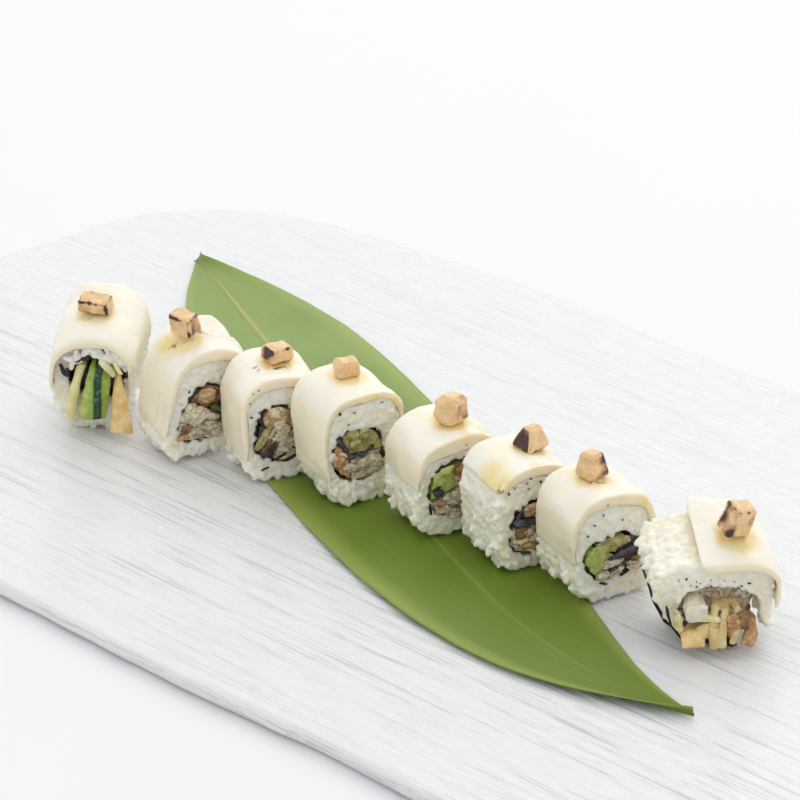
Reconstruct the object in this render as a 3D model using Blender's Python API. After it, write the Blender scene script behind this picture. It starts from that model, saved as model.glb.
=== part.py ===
"""Uramaki roll cut in eight slices, on a bamboo leaf and a clear glass plate.

The frame: origin at the middle of the plate's flat underside, X along the plate,
Z up. The row of slices runs along X, with the cut faces turned towards -Y and +X.
"""
import math
import random

import bmesh
import bpy
from mathutils import Euler, Vector
from mathutils.bvhtree import BVHTree

MM = 0.001

# Plate: a flat slab of clear glass with a rounded, slightly rippled outline
PLATE_HALF_X = 235.0
PLATE_HALF_Y = 134.0
PLATE_POWER = 4.3
PLATE_THICK = 5.5

# Leaf: lies flat under the slices, its free edges lift a little
LEAF_BASE = (-181.3, 66.7)
LEAF_TIP = (142.0, -50.8)
LEAF_HALF_WIDTH = 33.5
LEAF_THICK = 0.7
GAP = 0.3

# Where the slices stand: on the plate itself or on the leaf
ON_PLATE = PLATE_THICK + GAP
ON_LEAF = PLATE_THICK + GAP + LEAF_THICK + GAP

# Slices: place in the plate, turn of the cut face's own width from +X in degrees,
# width, height, depth along the roll, and how the body leans and narrows
SLICES = {
    1: dict(at=(-119.9, -33.9), turn=36, base=ON_PLATE, wide=30.5, high=40.0, deep=24.0,
            drop=7.0, shear=0.02, narrow=0.38, power=2.7),
    2: dict(at=(-82.0, -29.3), turn=71, base=ON_LEAF, wide=28.5, high=37.0, deep=20.8,
            drop=1.5, shear=0.16, narrow=0.10, power=2.8),
    3: dict(at=(-53.2, -22.8), turn=64, base=ON_LEAF, wide=29.0, high=35.5, deep=21.0,
            drop=1.0, shear=0.05, narrow=0.20, power=3.0),
    4: dict(at=(-24.9, -18.2), turn=72, base=ON_LEAF, wide=29.0, high=38.0, deep=21.5,
            drop=1.0, shear=-0.02, narrow=0.20, power=3.0),
    5: dict(at=(9.9, -12.6), turn=69, base=ON_LEAF, wide=29.5, high=33.0, deep=22.0,
            drop=0.5, shear=-0.04, narrow=0.13, power=3.2),
    6: dict(at=(40.3, -12.5), turn=73, base=ON_LEAF, wide=28.5, high=33.5, deep=22.0,
            drop=0.5, shear=0.0, narrow=0.16, power=3.4),
    7: dict(at=(69.8, -11.0), turn=72, base=ON_LEAF, wide=29.0, high=34.6, deep=22.0,
            drop=0.6, shear=-0.02, narrow=0.12, power=3.0),
    8: dict(at=(112.2, -9.0), turn=52, base=ON_PLATE + 1.2, wide=37.0, high=32.0, deep=22.0,
            drop=6.0, shear=-0.2, narrow=0.36, power=3.0),
}

# Fish over each slice: thickness, the height of its edge on the right and left side, how
# far it stands ahead of the rice, and how much that front edge curls down
FISH = {
    1: (3.6, 22.0, 15.0, 2.8, 2.6), 2: (4.2, 16.0, 8.0, 0.4, 0.2), 3: (4.0, 16.0, 7.0, 0.4, 0.2),
    4: (3.2, 17.0, 8.0, 0.3, 0.2), 5: (5.4, 17.0, 17.0, 0.5, 0.3), 6: (4.0, 21.0, 27.0, 1.0, 0.0),
    7: (4.0, 15.0, 13.0, 0.4, 0.2), 8: (4.4, 15.0, 30.0, 2.8, 0.8),
}
# The last slice's fish is a slab whose left edge lies on top, this far across
SLAB_LEFT = 0.0
# The second slice carries two pieces of fish that meet at this depth
CREASE = 3.2
FISH_EDGE = 0.4
FISH_SIDE = 1.7

# Nori ring round the filling: middle across and up, half sizes, turn in degrees
NORI = {
    1: (1.9, 21.0, 9.2, 10.0, 0), 2: (-1.0, 14.2, 8.0, 10.0, -16), 3: (-1.4, 15.2, 8.2, 9.8, -10),
    4: (-1.5, 16.5, 8.7, 9.4, 0), 5: (-1.4, 15.2, 8.6, 9.6, 0), 6: (-0.8, 12.4, 9.0, 8.8, 0),
    7: (-0.2, 13.4, 10.2, 7.0, 14), 8: (1.0, 10.6, 12.0, 10.4, 0),
}
NORI_THICK = 0.45

# Filling of the middle slices: name, place of its heart in the ring, and its share
FILLING = {
    2: (("brown", 1.5, 6.0, 0.0), ("green", 5.0, -1.5, -8.0), ("eel", -2.0, -3.5, 10.0)),
    3: (("egg", 1.0, 5.5, 4.0), ("skin", -5.0, -2.5, -6.0), ("eel", 3.5, -4.0, 4.0)),
    4: (("stem", 2.0, 4.8, 4.0), ("crisp", -6.2, -3.8, -10.0), ("eel", 2.0, -4.5, 8.0)),
    5: (("cucumber", -3.4, 2.6, 0.0), ("brown", 3.6, 5.0, 0.0), ("eel", 0.5, -5.0, 12.0)),
    6: (("skin", -0.6, 5.4, 2.0), ("eel", -1.0, -2.0, 8.0)),
    7: (("cucumber", -4.6, -1.4, 6.0), ("stem", -1.0, 5.0, 0.0), ("skin", 5.6, 0.0, 4.0)),
}

# Seared cube on each slice: place on top, sizes, turn and tilts in degrees, bevel
CUBES = {
    1: ((-0.8, 2.0), (10.5, 6.6, 4.6), (-12, 16, 0), 0.7),
    2: ((-9.0, 1.6), (6.6, 9.0, 7.0), (26, 6, -16), 0.8),
    3: ((0.0, -1.0), (9.2, 7.4, 5.0), (14, 3, 0), 1.1),
    4: ((1.6, -1.4), (8.2, 6.6, 5.4), (-2, 3, 0), 1.1),
    5: ((2.8, 2.4), (11.0, 9.6, 9.0), (28, 2, 3), 2.2),
    6: ((4.0, -0.6), (10.4, 8.8, 7.0), (20, 2, 3), 1.0),
    7: ((-0.4, -0.8), (9.4, 8.0, 7.8), (18, 3, -2), 1.0),
    8: ((13.6, 3.0), (8.6, 7.6, 9.6), (24, 15, 12), 1.0),
}

# Rice grains as cooked: half length and half width, and how many stand out of a slice
GRAIN_LONG = 3.0
GRAIN_SHORT = 1.45
GRAINS = 18

COLOURS = {
    "glass": ((0.93, 0.96, 0.97), 0.05), "leaf": ((0.20, 0.33, 0.05), 0.45),
    "rice": ((0.84, 0.83, 0.78), 0.35), "nori": ((0.03, 0.035, 0.03), 0.5),
    "fish": ((0.93, 0.86, 0.74), 0.35), "cube": ((0.66, 0.42, 0.25), 0.4),
    "cucumber": ((0.42, 0.55, 0.12), 0.35), "stem": ((0.36, 0.38, 0.14), 0.4),
    "eel": ((0.45, 0.38, 0.30), 0.5), "skin": ((0.12, 0.11, 0.12), 0.35),
    "brown": ((0.40, 0.26, 0.13), 0.5), "green": ((0.25, 0.30, 0.12), 0.45),
    "egg": ((0.62, 0.50, 0.34), 0.5), "crisp": ((0.55, 0.25, 0.08), 0.5),
    "fry": ((0.74, 0.52, 0.26), 0.5), "cream": ((0.80, 0.76, 0.52), 0.4),
    "shred": ((0.86, 0.84, 0.70), 0.4), "white": ((0.88, 0.86, 0.80), 0.4),
    "strips": ((0.76, 0.66, 0.42), 0.4),
}

# Start from an empty scene
for old in list(bpy.data.objects):
    bpy.data.objects.remove(old, do_unlink=True)

PARTS = bpy.data.collections.new("uramaki_on_plate")
CUTTERS = bpy.data.collections.new("cutters")
bpy.context.scene.collection.children.link(PARTS)
bpy.context.scene.collection.children.link(CUTTERS)


def material(slot):
    """The slot's Principled material, made the first time it is asked for."""
    if slot in bpy.data.materials:
        return bpy.data.materials[slot]
    colour, rough = COLOURS[slot]
    mat = bpy.data.materials.new(slot)
    mat.use_nodes = True
    shader = mat.node_tree.nodes["Principled BSDF"]
    shader.inputs["Base Color"].default_value = (*colour, 1.0)
    shader.inputs["Roughness"].default_value = rough
    shader.inputs["Metallic"].default_value = 0.0
    if slot == "glass":
        shader.inputs["Transmission Weight"].default_value = 0.9
    return mat


def link(name, bm, slot, collection=PARTS):
    """Turns a bmesh into a named object with its material, shaded smooth."""
    mesh = bpy.data.meshes.new(name)
    bm.to_mesh(mesh)
    bm.free()
    obj = bpy.data.objects.new(name, mesh)
    collection.objects.link(obj)
    if slot:
        mesh.materials.append(material(slot))
    mesh.shade_smooth()
    if collection is CUTTERS:
        obj.hide_render = True
        obj.display_type = "WIRE"
    return obj


def loft(rings, strip=False):
    """A closed body through rings of equally many points, with flat ends.

    A strip's ring runs out along one face and back along the other, so its ends are
    closed by rungs between the two.
    """
    bm = bmesh.new()
    rows = [[bm.verts.new(tuple(p)) for p in ring] for ring in rings]
    count = len(rows[0])
    for low, top in zip(rows, rows[1:]):
        for i in range(count):
            j = (i + 1) % count
            bm.faces.new((low[i], low[j], top[j], top[i]))
    for row in (rows[0], rows[-1]):
        if strip:
            for i in range(count // 2 - 1):
                bm.faces.new((row[i], row[i + 1], row[count - 2 - i], row[count - 1 - i]))
        else:
            bm.faces.new(row)
    bmesh.ops.triangulate(bm, faces=bm.faces)
    bmesh.ops.recalc_face_normals(bm, faces=bm.faces)
    return bm


def smooth(x):
    """A soft step from 0 to 1."""
    x = min(1.0, max(0.0, x))
    return x * x * (3.0 - 2.0 * x)


def to_plate(n, a, d, z):
    """From a slice's own across, forward and up, in mm, to the plate's frame in metres.

    The slice's lean, its drop to the front and its uneven hand-made sides are in here,
    so every layer of the slice follows the same bend and stays clear of the next. It
    is straight from front to back, so layers with unlike numbers of rings agree too.
    """
    s = SLICES[n]
    h = s["high"]
    up = z / h
    share = d / s["deep"]
    a2 = a + s["shear"] * (z - 0.4 * h) + (0.4 + share * 0.5) * math.sin(0.19 * z + 1.9 * n)
    d2 = d + 0.5 * math.sin(0.16 * a + 0.13 * z + 2.3 * n)
    z2 = z + up * (0.4 + share * 0.5) * math.sin(0.22 * a + 1.3 * n)
    z2 -= s["drop"] * (share + 0.5) * up * abs(up)
    t = math.radians(s["turn"])
    x = s["at"][0] + a2 * math.cos(t) + d2 * math.sin(t)
    y = s["at"][1] + a2 * math.sin(t) - d2 * math.cos(t)
    return (x * MM, y * MM, (s["base"] + z2) * MM)


def outline(n, count=360):
    """The cut face's outer line, from the middle of its foot, round by the right side."""
    s = SLICES[n]
    w, h, p = s["wide"], s["high"], s["power"]
    points = []
    for i in range(count):
        t = 2.0 * math.pi * i / count - math.pi / 2
        c, v = math.cos(t), math.sin(t)
        # The foot has squarer corners than the top
        q = p if v > 0 else p + 1.6
        x = 0.5 * w * math.copysign(abs(c) ** (2 / q), c)
        z = 0.5 * h * (1 + math.copysign(abs(v) ** (2 / q), v))
        x *= 1.0 - s["narrow"] * (1.0 - z / h) ** 2
        points.append((x, max(z, 0.35) - 0.35))
    return points


def inset(points, i, depth):
    """Point i of a closed line, moved inwards by depth."""
    k = len(points)
    x0, z0 = points[(i - 2) % k]
    x1, z1 = points[(i + 2) % k]
    tx, tz = x1 - x0, z1 - z0
    size = math.hypot(tx, tz) or 1.0
    return (points[i % k][0] - depth * tz / size, points[i % k][1] + depth * tx / size)


def side_index(points, height, left):
    """Where the line reaches a height on its right side, or on its left side."""
    half = len(points) // 2
    span = range(half, len(points)) if left else range(half, 0, -1)
    for i in span:
        if points[i][1] <= height:
            return i
    return half


def spread(points, first, last, count):
    """Indices from first to last at even steps along the line."""
    k = len(points)
    reach = [0.0]
    for i in range(first, last):
        p, q = points[i % k], points[(i + 1) % k]
        reach.append(reach[-1] + math.hypot(q[0] - p[0], q[1] - p[1]))
    picks = []
    for j in range(count):
        target = reach[-1] * j / (count - 1)
        picks.append(first + min(range(len(reach)), key=lambda m: abs(reach[m] - target)))
    return picks


def layers(n):
    """The closed lines of a slice's rice and fish, which share their points' places."""
    points = outline(n)
    thick, right, left, _, _ = FISH[n]
    start = side_index(points, right, False)
    end = side_index(points, left, True)
    if n == 8:
        end = next(i for i in range(len(points) // 2, len(points)) if points[i][0] < SLAB_LEFT)
    cover = spread(points, start, end, 12)
    rest = spread(points, end, start + len(points), 12)[1:-1]
    depth = []
    for j in range(len(cover)):
        edge = min(j, len(cover) - 1 - j) / 1.6
        if n == 8 and j > 6:
            edge = 1.0
        level = abs(inset(points, cover[j], 1.0)[1] - points[cover[j] % len(points)][1])
        full = FISH_SIDE + (thick - FISH_SIDE) * level
        depth.append(full * (FISH_EDGE + (1 - FISH_EDGE) * smooth(edge)))
    if n == 8:
        # The last slice's fish lies on the rice like a slab, outside the rice's line
        outer = [inset(points, i, -d - 0.4) for i, d in zip(cover, depth)]
        inner = [inset(points, i, -0.4) for i in cover]
        rice = [inset(points, i, 0.0) for i in cover]
    else:
        outer = [inset(points, i, 0.0) for i in cover]
        inner = [inset(points, i, d) for i, d in zip(cover, depth)]
        rice = [inset(points, i, d + 0.4) for i, d in zip(cover, depth)]
    rice += [inset(points, i, 0.0) for i in rest]
    rice = [(x, max(z, 0.0)) for x, z in rice]
    return rice, outer + inner[::-1], rest


def ring_line(n, grow, count=14):
    """The nori's oval, grown or shrunk by a distance."""
    ca, cz, ra, rz, turn = NORI[n]
    t = math.radians(turn)
    line = []
    for i in range(count):
        w = 2 * math.pi * (i + 0.5) / count
        c, s = math.cos(w), math.sin(w)
        x = (ra + grow) * math.copysign(abs(c) ** 0.8, c)
        z = (rz + grow) * math.copysign(abs(s) ** 0.8, s)
        line.append((ca + x * math.cos(t) - z * math.sin(t), cz + x * math.sin(t) + z * math.cos(t)))
    return line


def along(n, line, stations):
    """Rings of a line carried through a slice at the given depths."""
    return [[to_plate(n, a, d, z) for a, z in line] for d in stations]


def cut(line, px, pz, nx, nz):
    """The part of a convex line behind the plane through p with normal n."""
    out = []
    for (ax, az), (bx, bz) in zip(line, line[1:] + line[:1]):
        da = (ax - px) * nx + (az - pz) * nz
        db = (bx - px) * nx + (bz - pz) * nz
        if da <= 0:
            out.append((ax, az))
        if (da < 0) != (db < 0) and abs(da - db) > 1e-9:
            t = da / (da - db)
            out.append((ax + t * (bx - ax), az + t * (bz - az)))
    return out


def thin(line, least):
    """Drops points that stand closer than least to the one before."""
    out = []
    for p in line:
        if all(math.dist(p, q) > least for q in out):
            out.append(p)
    return out


def cells(n):
    """The nori's inside, shared out between the pieces of filling."""
    inside = ring_line(n, -NORI_THICK - 0.35)
    ca, cz = NORI[n][0], NORI[n][1]
    hearts = [(k[0], ca + k[1], cz + k[2], k[3]) for k in FILLING[n]]
    for name, x, z, share in hearts:
        line = inside
        for other, ox, oz, oshare in hearts:
            if other == name:
                continue
            dx, dz = ox - x, oz - z
            size = math.hypot(dx, dz)
            t = 0.5 * size + (share - oshare) / (2 * size) - 0.2
            line = cut(line, x + dx / size * t, z + dz / size * t, dx / size, dz / size)
        yield name, thin(line, 1.2)


def stick(n, path, thick, name, slot):
    """A strip that leaves the roll along a bent path of across, forward, up and width."""
    rings = []
    for i, (a, d, z, wide) in enumerate(path):
        p = path[max(i - 1, 0)]
        q = path[min(i + 1, len(path) - 1)]
        td, tz = q[1] - p[1], q[2] - p[2]
        size = math.hypot(td, tz)
        td, tz = td / size, tz / size
        ring = []
        for k in range(8):
            w = 2 * math.pi * (k + 0.5) / 8
            x = 0.54 * wide * math.cos(w)
            y = 0.54 * thick * math.sin(w)
            ring.append(to_plate(n, a + x, d - y * tz, z + y * td))
        rings.append(ring)
    return link(name, loft(rings), slot)


def grain(bm, at, direction, size):
    """One cooked grain: a long egg with few sides."""
    made = bmesh.ops.create_uvsphere(bm, u_segments=5, v_segments=4, radius=1.0)
    side = direction.cross((0.31, 0.52, 0.8)).normalized()
    third = direction.cross(side).normalized()
    for v in made["verts"]:
        x, y, z = v.co
        v.co = at + (side * x + third * y) * GRAIN_SHORT * size * MM + direction * z * GRAIN_LONG * size * MM


def blocked(n, a, d):
    """Whether a place beside a slice is taken by the next slice in the row."""
    x, y, _ = to_plate(n, a, d, 10.0)
    for m, s in SLICES.items():
        if m == n:
            continue
        t = math.radians(s["turn"])
        dx, dy = x / MM - s["at"][0], y / MM - s["at"][1]
        across = dx * math.cos(t) + dy * math.sin(t)
        ahead = dx * math.sin(t) - dy * math.cos(t)
        if abs(across) < s["wide"] / 2 + 3.6 and abs(ahead) < s["deep"] / 2 + 3.6:
            return True
    return False


def rice_body(n):
    """The slice's rice: a core with the grains that stand out of it, and its tunnel."""
    s = SLICES[n]
    rng = random.Random(150 + n)
    rice = layers(n)[0]
    half = s["deep"] / 2
    core = link(f"rice_{n}", loft(along(n, rice, (-half, 0.0, half))), "rice")
    points = outline(n)
    _, right, left, _, _ = FISH[n]
    free_right = side_index(points, right - 4.8, False)
    free_left = side_index(points, left - 4.8, True)
    free = list(range(free_left, len(points))) + list(range(0, free_right))
    ca, cz, ra, rz, _ = NORI[n]
    spots = []
    tries = 0
    while len(spots) < GRAINS and tries < 6000:
        tries += 1
        kind = rng.random()
        if kind < 0.55:
            i = rng.choice(free)
            x, z = inset(points, i, 0.25)
            d = rng.uniform(-half + 1.5, half - 0.5)
            out = (x, 0.0, z - 0.45 * s["high"])
        else:
            i = rng.randrange(len(points))
            x, z = inset(points, i, rng.uniform(1.6, 6.5))
            d = (half - 0.35) if kind < 0.8 else (-half + 0.35)
            out = (0.0, 1.0, 0.0)
            if z > s["high"] - FISH[n][0] - 5.2:
                continue
            covered = z > (left if x < 0 else right) - 4.0
            if covered and abs(x) > s["wide"] / 2 - FISH[n][0] - 4.0:
                continue
        if math.hypot((x - ca) / (ra + 2.4), (z - cz) / (rz + 2.4)) < 1.0 and n != 8:
            continue
        if n == 8 and (math.hypot((x - ca) / (ra + 2.4), (z - cz) / (rz + 2.4)) < 1.0 or z < 4 or x > 6):
            continue
        if n == 8 and z < 25 and x < 9:
            continue
        z = max(z, 1.75)
        if blocked(n, x * 1.08, d * 1.1):
            continue
        if any(math.dist((x, d, z), p) < 3.3 for p in spots):
            continue
        spots.append((x, d, z))
        at = Vector(to_plate(n, x, d, z))
        normal = Vector(to_plate(n, x + out[0] * 0.1, d + out[1] * 0.1, z + out[2] * 0.1)) - at
        lie = Vector((rng.uniform(-1, 1), rng.uniform(-1, 1), rng.uniform(-0.8, 0.8)))
        lie = lie - normal * (lie.dot(normal) / max(normal.length_squared, 1e-12)) * 0.85
        if z < 3.0:
            lie.z = 0.0
        bm = bmesh.new()
        grain(bm, at, lie.normalized(), rng.uniform(0.9, 1.08))
        bmesh.ops.triangulate(bm, faces=bm.faces)
        link(f"grain_{n}_{len(spots)}", bm, None, GRAIN_BOX)
    tunnel = ring_line(n, 0.35)
    if n == 8:
        # The last slice's roll has opened below, so its tunnel reaches the foot
        low = [(ca - ra, -3.0), (ca + ra - 1.0, -3.0)]
        tunnel = [p for p in tunnel if p[1] > cz] + low
    bore = link(f"tunnel_{n}", loft(along(n, tunnel, (-half - 4, half + 4))), None, CUTTERS)
    join = core.modifiers.new("grains", "BOOLEAN")
    join.operation = "UNION"
    join.operand_type = "COLLECTION"
    join.collection = GRAIN_BOX
    join.solver = "MANIFOLD"
    bite = core.modifiers.new("tunnel", "BOOLEAN")
    bite.operation = "DIFFERENCE"
    bite.object = bore
    bite.solver = "MANIFOLD"
    bpy.context.view_layer.update()
    done = bpy.data.meshes.new_from_object(core.evaluated_get(bpy.context.evaluated_depsgraph_get()))
    core.modifiers.clear()
    core.data = done
    for obj in list(GRAIN_BOX.objects):
        bpy.data.objects.remove(obj, do_unlink=True)
    keep_largest(core)
    return core


def keep_largest(obj):
    """Drops loose scraps that a cut has left, and welds points that meet."""
    bm = bmesh.new()
    bm.from_mesh(obj.data)
    bmesh.ops.remove_doubles(bm, verts=bm.verts, dist=2e-6)
    bmesh.ops.dissolve_degenerate(bm, edges=bm.edges, dist=2e-6)
    todo, groups = set(bm.verts), []
    while todo:
        heap, group = [todo.pop()], []
        while heap:
            v = heap.pop()
            group.append(v)
            for e in v.link_edges:
                w = e.other_vert(v)
                if w in todo:
                    todo.remove(w)
                    heap.append(w)
        groups.append(group)
    groups.sort(key=len)
    for group in groups[:-1]:
        bmesh.ops.delete(bm, geom=group, context="VERTS")
    bmesh.ops.triangulate(bm, faces=bm.faces)
    bm.to_mesh(obj.data)
    bm.free()


GRAIN_BOX = bpy.data.collections.new("grains")
bpy.context.scene.collection.children.link(GRAIN_BOX)

# Plate: three loops of its outline, so that the rim is rounded above the flat foot
plate_rings = []
for level, pull in ((0.0, 3.0), (1.4, 0.6), (4.0, 0.0), (PLATE_THICK, 2.0)):
    ring = []
    for i in range(64):
        t = 2 * math.pi * i / 64
        c, s = math.cos(t), math.sin(t)
        ripple = 0.7 * math.sin(11 * t) + 0.5 * math.sin(17 * t + 1.0)
        x = (PLATE_HALF_X - 1.4 - pull + ripple) * math.copysign(abs(c) ** (2 / PLATE_POWER), c)
        y = (PLATE_HALF_Y - 1.4 - pull + ripple) * math.copysign(abs(s) ** (2 / PLATE_POWER), s)
        ring.append((x * MM, y * MM, level * MM))
    plate_rings.append(ring)
link("plate", loft(plate_rings), "glass")


def leaf_point(s, q):
    """A place on the leaf: s from base to tip, q from the near edge (-1) to the far edge."""
    ax, ay = LEAF_BASE
    bx, by = LEAF_TIP
    length = math.hypot(bx - ax, by - ay)
    dx, dy = (bx - ax) / length, (by - ay) / length
    middle = -28.5 * s * (1 - s ** 8)
    if s < 0.38:
        half = LEAF_HALF_WIDTH * (1 - (1 - s / 0.38) ** 2.2)
    else:
        half = LEAF_HALF_WIDTH * (1 - ((s - 0.38) / 0.62) ** 3.2)
    half = max(half, 1.6 if s < 0.5 else 0.5)
    side = middle + q * half
    return ax + dx * s * length - dy * side, ay + dy * s * length + dx * side


def leaf_lift(x, y, s, q):
    """How far the leaf's free parts stand off the plate."""
    near = min(math.dist((x, y), item["at"]) for item in SLICES.values())
    free = smooth((near - 25.0) / 22.0)
    edge = abs(q) ** 3
    return free * (0.6 + 1.3 * edge * (1 + math.sin(9.0 * s + 2.0 * q)) + 0.35 * math.sin(23 * s + 3 * q))


# Leaf: top and underside carry the same grid, so both faces split alike
ROWS = 24
COLS = 6
leaf = bmesh.new()
sheets = []
for up in (0.0, LEAF_THICK):
    grid = []
    for i in range(ROWS + 1):
        s = i / ROWS
        row = []
        for j in range(COLS + 1):
            q = -1 + 2 * j / COLS
            x, y = leaf_point(s, q)
            z = PLATE_THICK + GAP + up + leaf_lift(x, y, s, q)
            row.append(leaf.verts.new((x * MM, y * MM, z * MM)))
        grid.append(row)
    sheets.append(grid)
for k, grid in enumerate(sheets):
    for i in range(ROWS):
        for j in range(COLS):
            a, b, c, d = grid[i][j], grid[i + 1][j], grid[i + 1][j + 1], grid[i][j + 1]
            for tri in ((a, b, c), (a, c, d)):
                leaf.faces.new(tri if k else tri[::-1])
low, top = sheets
rim = [(0, j) for j in range(COLS)] + [(i, COLS) for i in range(ROWS)]
rim += [(ROWS, j) for j in range(COLS, 0, -1)] + [(i, 0) for i in range(ROWS, 0, -1)]
for (i, j), (k, m) in zip(rim, rim[1:] + rim[:1]):
    leaf.faces.new((low[i][j], low[k][m], top[k][m]))
    leaf.faces.new((low[i][j], top[k][m], top[i][j]))
bmesh.ops.recalc_face_normals(leaf, faces=leaf.faces)
link("leaf", leaf, "leaf")

# The slices: rice, fish, nori and the cube on top
for n, s in SLICES.items():
    half = s["deep"] / 2
    rice_body(n)
    _, fish, rest = layers(n)
    _, _, _, ahead, curl = FISH[n]
    lip = [(a * (1 - curl / s["wide"]), z - curl * z / s["high"]) for a, z in fish]
    front = along(n, fish, (half + 0.5,)) + along(n, lip, (half + 0.5 + ahead,))
    if n == 2:
        # Two pieces of fish meet over this slice, and the front one's back edge is raised
        bulge = [(a, z * 1.09) for a, z in fish[:len(fish) // 2]] + fish[len(fish) // 2:]
        back = along(n, fish, (-half - 0.3,)) + along(n, bulge, (-half / 2,)) + along(n, fish, (CREASE,))
        link("fish_2_back", loft(back, strip=True), "fish")
        raised = [(a * 1.05, z * 1.065) for a, z in fish]
        front = along(n, raised, (CREASE + 0.4,)) + along(n, fish, (half / 2 + 1.0,)) + front
    else:
        front = along(n, fish, (-half - 0.3, 0.0)) + front
    link(f"fish_{n}", loft(front, strip=True), "fish")

    if n == 8:
        # The opened sheet lies against the outside of the rice, on the left and below
        points = outline(n)
        picks = [i for i in rest if i >= len(points) or points[i][1] < 21.0]
        picks = [i for i in picks if points[i % len(points)][0] < 7.0]
        outer = [inset(points, i, -1.0) for i in picks]
        inner = [inset(points, i, -0.4) for i in picks]
        band = [(x, max(z, -0.85)) for x, z in outer] + [(x, max(z, -0.25)) for x, z in inner[::-1]]
        link("nori_8", loft(along(n, band, (-half + 0.5, half + 0.4)), True), "nori")
    else:
        bm = bmesh.new()
        hoops = []
        for grow in (0.0, -NORI_THICK):
            for d in (-half + 0.2, half + 0.3):
                hoops.append([bm.verts.new(to_plate(n, a, d, z)) for a, z in ring_line(n, grow)])
        back_out, front_out, back_in, front_in = hoops
        for one, two in ((back_out, front_out), (front_out, front_in), (front_in, back_in), (back_in, back_out)):
            for i in range(len(one)):
                j = (i + 1) % len(one)
                bm.faces.new((one[i], one[j], two[j], two[i]))
        bmesh.ops.triangulate(bm, faces=bm.faces)
        bmesh.ops.recalc_face_normals(bm, faces=bm.faces)
        link(f"nori_{n}", bm, "nori")

    # Filling of the middle slices runs right through
    if n in FILLING:
        for name, line in cells(n):
            proud = {"eel": 0.5, "skin": 0.2, "crisp": 0.9}.get(name, 0.6)
            body = loft(along(n, line, (-half + 0.6, half + proud)))
            link(f"{name}_{n}", body, name)

# Filling of the first slice: sticks that run through and hang out of the end
stick(1, ((3.0, -9.5, 23.4, 6.8), (3.0, 10.6, 23.8, 6.8), (3.0, 14.8, 19.5, 8.0), (0.9, 17.4, 6.0, 9.0)),
      6.2, "cucumber_1", "cucumber")
stick(1, ((-3.6, -9.5, 22.4, 3.0), (-3.6, 12.6, 22.6, 3.0), (-4.0, 15.2, 17.5, 3.4), (-6.3, 17.0, 5.5, 3.6)),
      4.4, "cream_1", "cream")
stick(1, ((8.8, -9.5, 21.0, 2.2), (8.8, 13.0, 21.2, 2.2), (10.8, 17.6, 14.0, 4.8), (10.6, 21.4, 3.0, 7.6)),
      4.6, "fry_1", "fry")
stick(1, ((4.4, 11.0, 28.5, 1.8), (6.6, 14.0, 28.3, 2.4), (9.8, 16.6, 24.6, 2.4)), 1.4, "shred_1", "shred")

# Filling of the last slice: the opened end lets its strips hang down to the plate
stick(8, ((-6.0, -9.0, 13.8, 6.2), (-6.0, 9.0, 14.0, 6.2), (-6.4, 13.6, 14.0, 7.2)), 5.6, "white_8", "white")
stick(8, ((-5.4, -9.0, 5.4, 7.4), (-5.4, 9.0, 5.8, 7.4), (-8.8, 14.8, 6.0, 7.4), (-10.2, 17.6, 2.6, 7.0)),
      3.4, "fry_8", "fry")
stick(8, ((9.0, -9.0, 5.6, 3.0), (9.0, 9.0, 5.8, 3.0), (7.4, 14.4, 5.0, 4.2), (5.4, 17.4, 3.0, 4.6)),
      4.0, "crisp_8", "crisp")
stick(8, ((2.8, -9.0, 12.8, 7.4), (2.8, 8.0, 13.2, 7.4), (2.2, 12.4, 13.4, 7.6), (0.2, 15.4, 9.0, 7.8),
          (-2.4, 17.8, 1.8, 6.6)), 4.4, "strips_8", "strips")

# Seared cubes: each is lowered onto the fish until it all but touches it
for n, ((a, d), size, (turn, tip, roll), bevel) in CUBES.items():
    s = SLICES[n]
    bm = bmesh.new()
    bmesh.ops.create_cube(bm, size=1.0)
    rng = random.Random(40 + n)
    for v in bm.verts:
        pinch = {6: 0.45, 7: 0.62, 5: 0.85}.get(n, 0.92) if v.co.z > 0 else 1.0
        v.co.x *= size[0] * pinch * rng.uniform(0.93, 1.05)
        v.co.y *= size[1] * pinch * rng.uniform(0.93, 1.05)
        v.co.z *= size[2] * rng.uniform(0.95, 1.05)
    bmesh.ops.bevel(bm, geom=bm.edges, affect="EDGES", offset=bevel, segments=1, profile=0.5, material=-1)
    spin = Euler((math.radians(tip), math.radians(roll), math.radians(turn + s["turn"]))).to_matrix()
    for v in bm.verts:
        v.co = spin @ v.co
    start = Vector(to_plate(n, a, d, s["high"] + 14.0))
    for v in bm.verts:
        v.co = start + v.co * MM
    bmesh.ops.triangulate(bm, faces=bm.faces)
    fish = bmesh.new()
    for piece in PARTS.objects:
        if piece.name.startswith(f"fish_{n}"):
            fish.from_mesh(piece.data)
    below = BVHTree.FromBMesh(fish)
    fish.free()
    fall = 0.0
    while fall < 20.0 and not below.overlap(BVHTree.FromBMesh(bm)):
        fall += 0.1
        for v in bm.verts:
            v.co.z -= 0.1 * MM
    for v in bm.verts:
        v.co.z += 0.35 * MM
    bmesh.ops.recalc_face_normals(bm, faces=bm.faces)
    link(f"cube_{n}", bm, "cube")

bpy.data.collections.remove(GRAIN_BOX)
print("nodes", len(PARTS.objects))
print("triangles", sum(len(o.data.polygons) for o in PARTS.objects))
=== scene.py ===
"""The looks of a cut uramaki roll on a bamboo leaf and a clear glass plate."""
import math
import random
from itertools import product

import bmesh
import bpy
from mathutils import Euler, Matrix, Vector, noise
from mathutils.bvhtree import BVHTree


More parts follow.
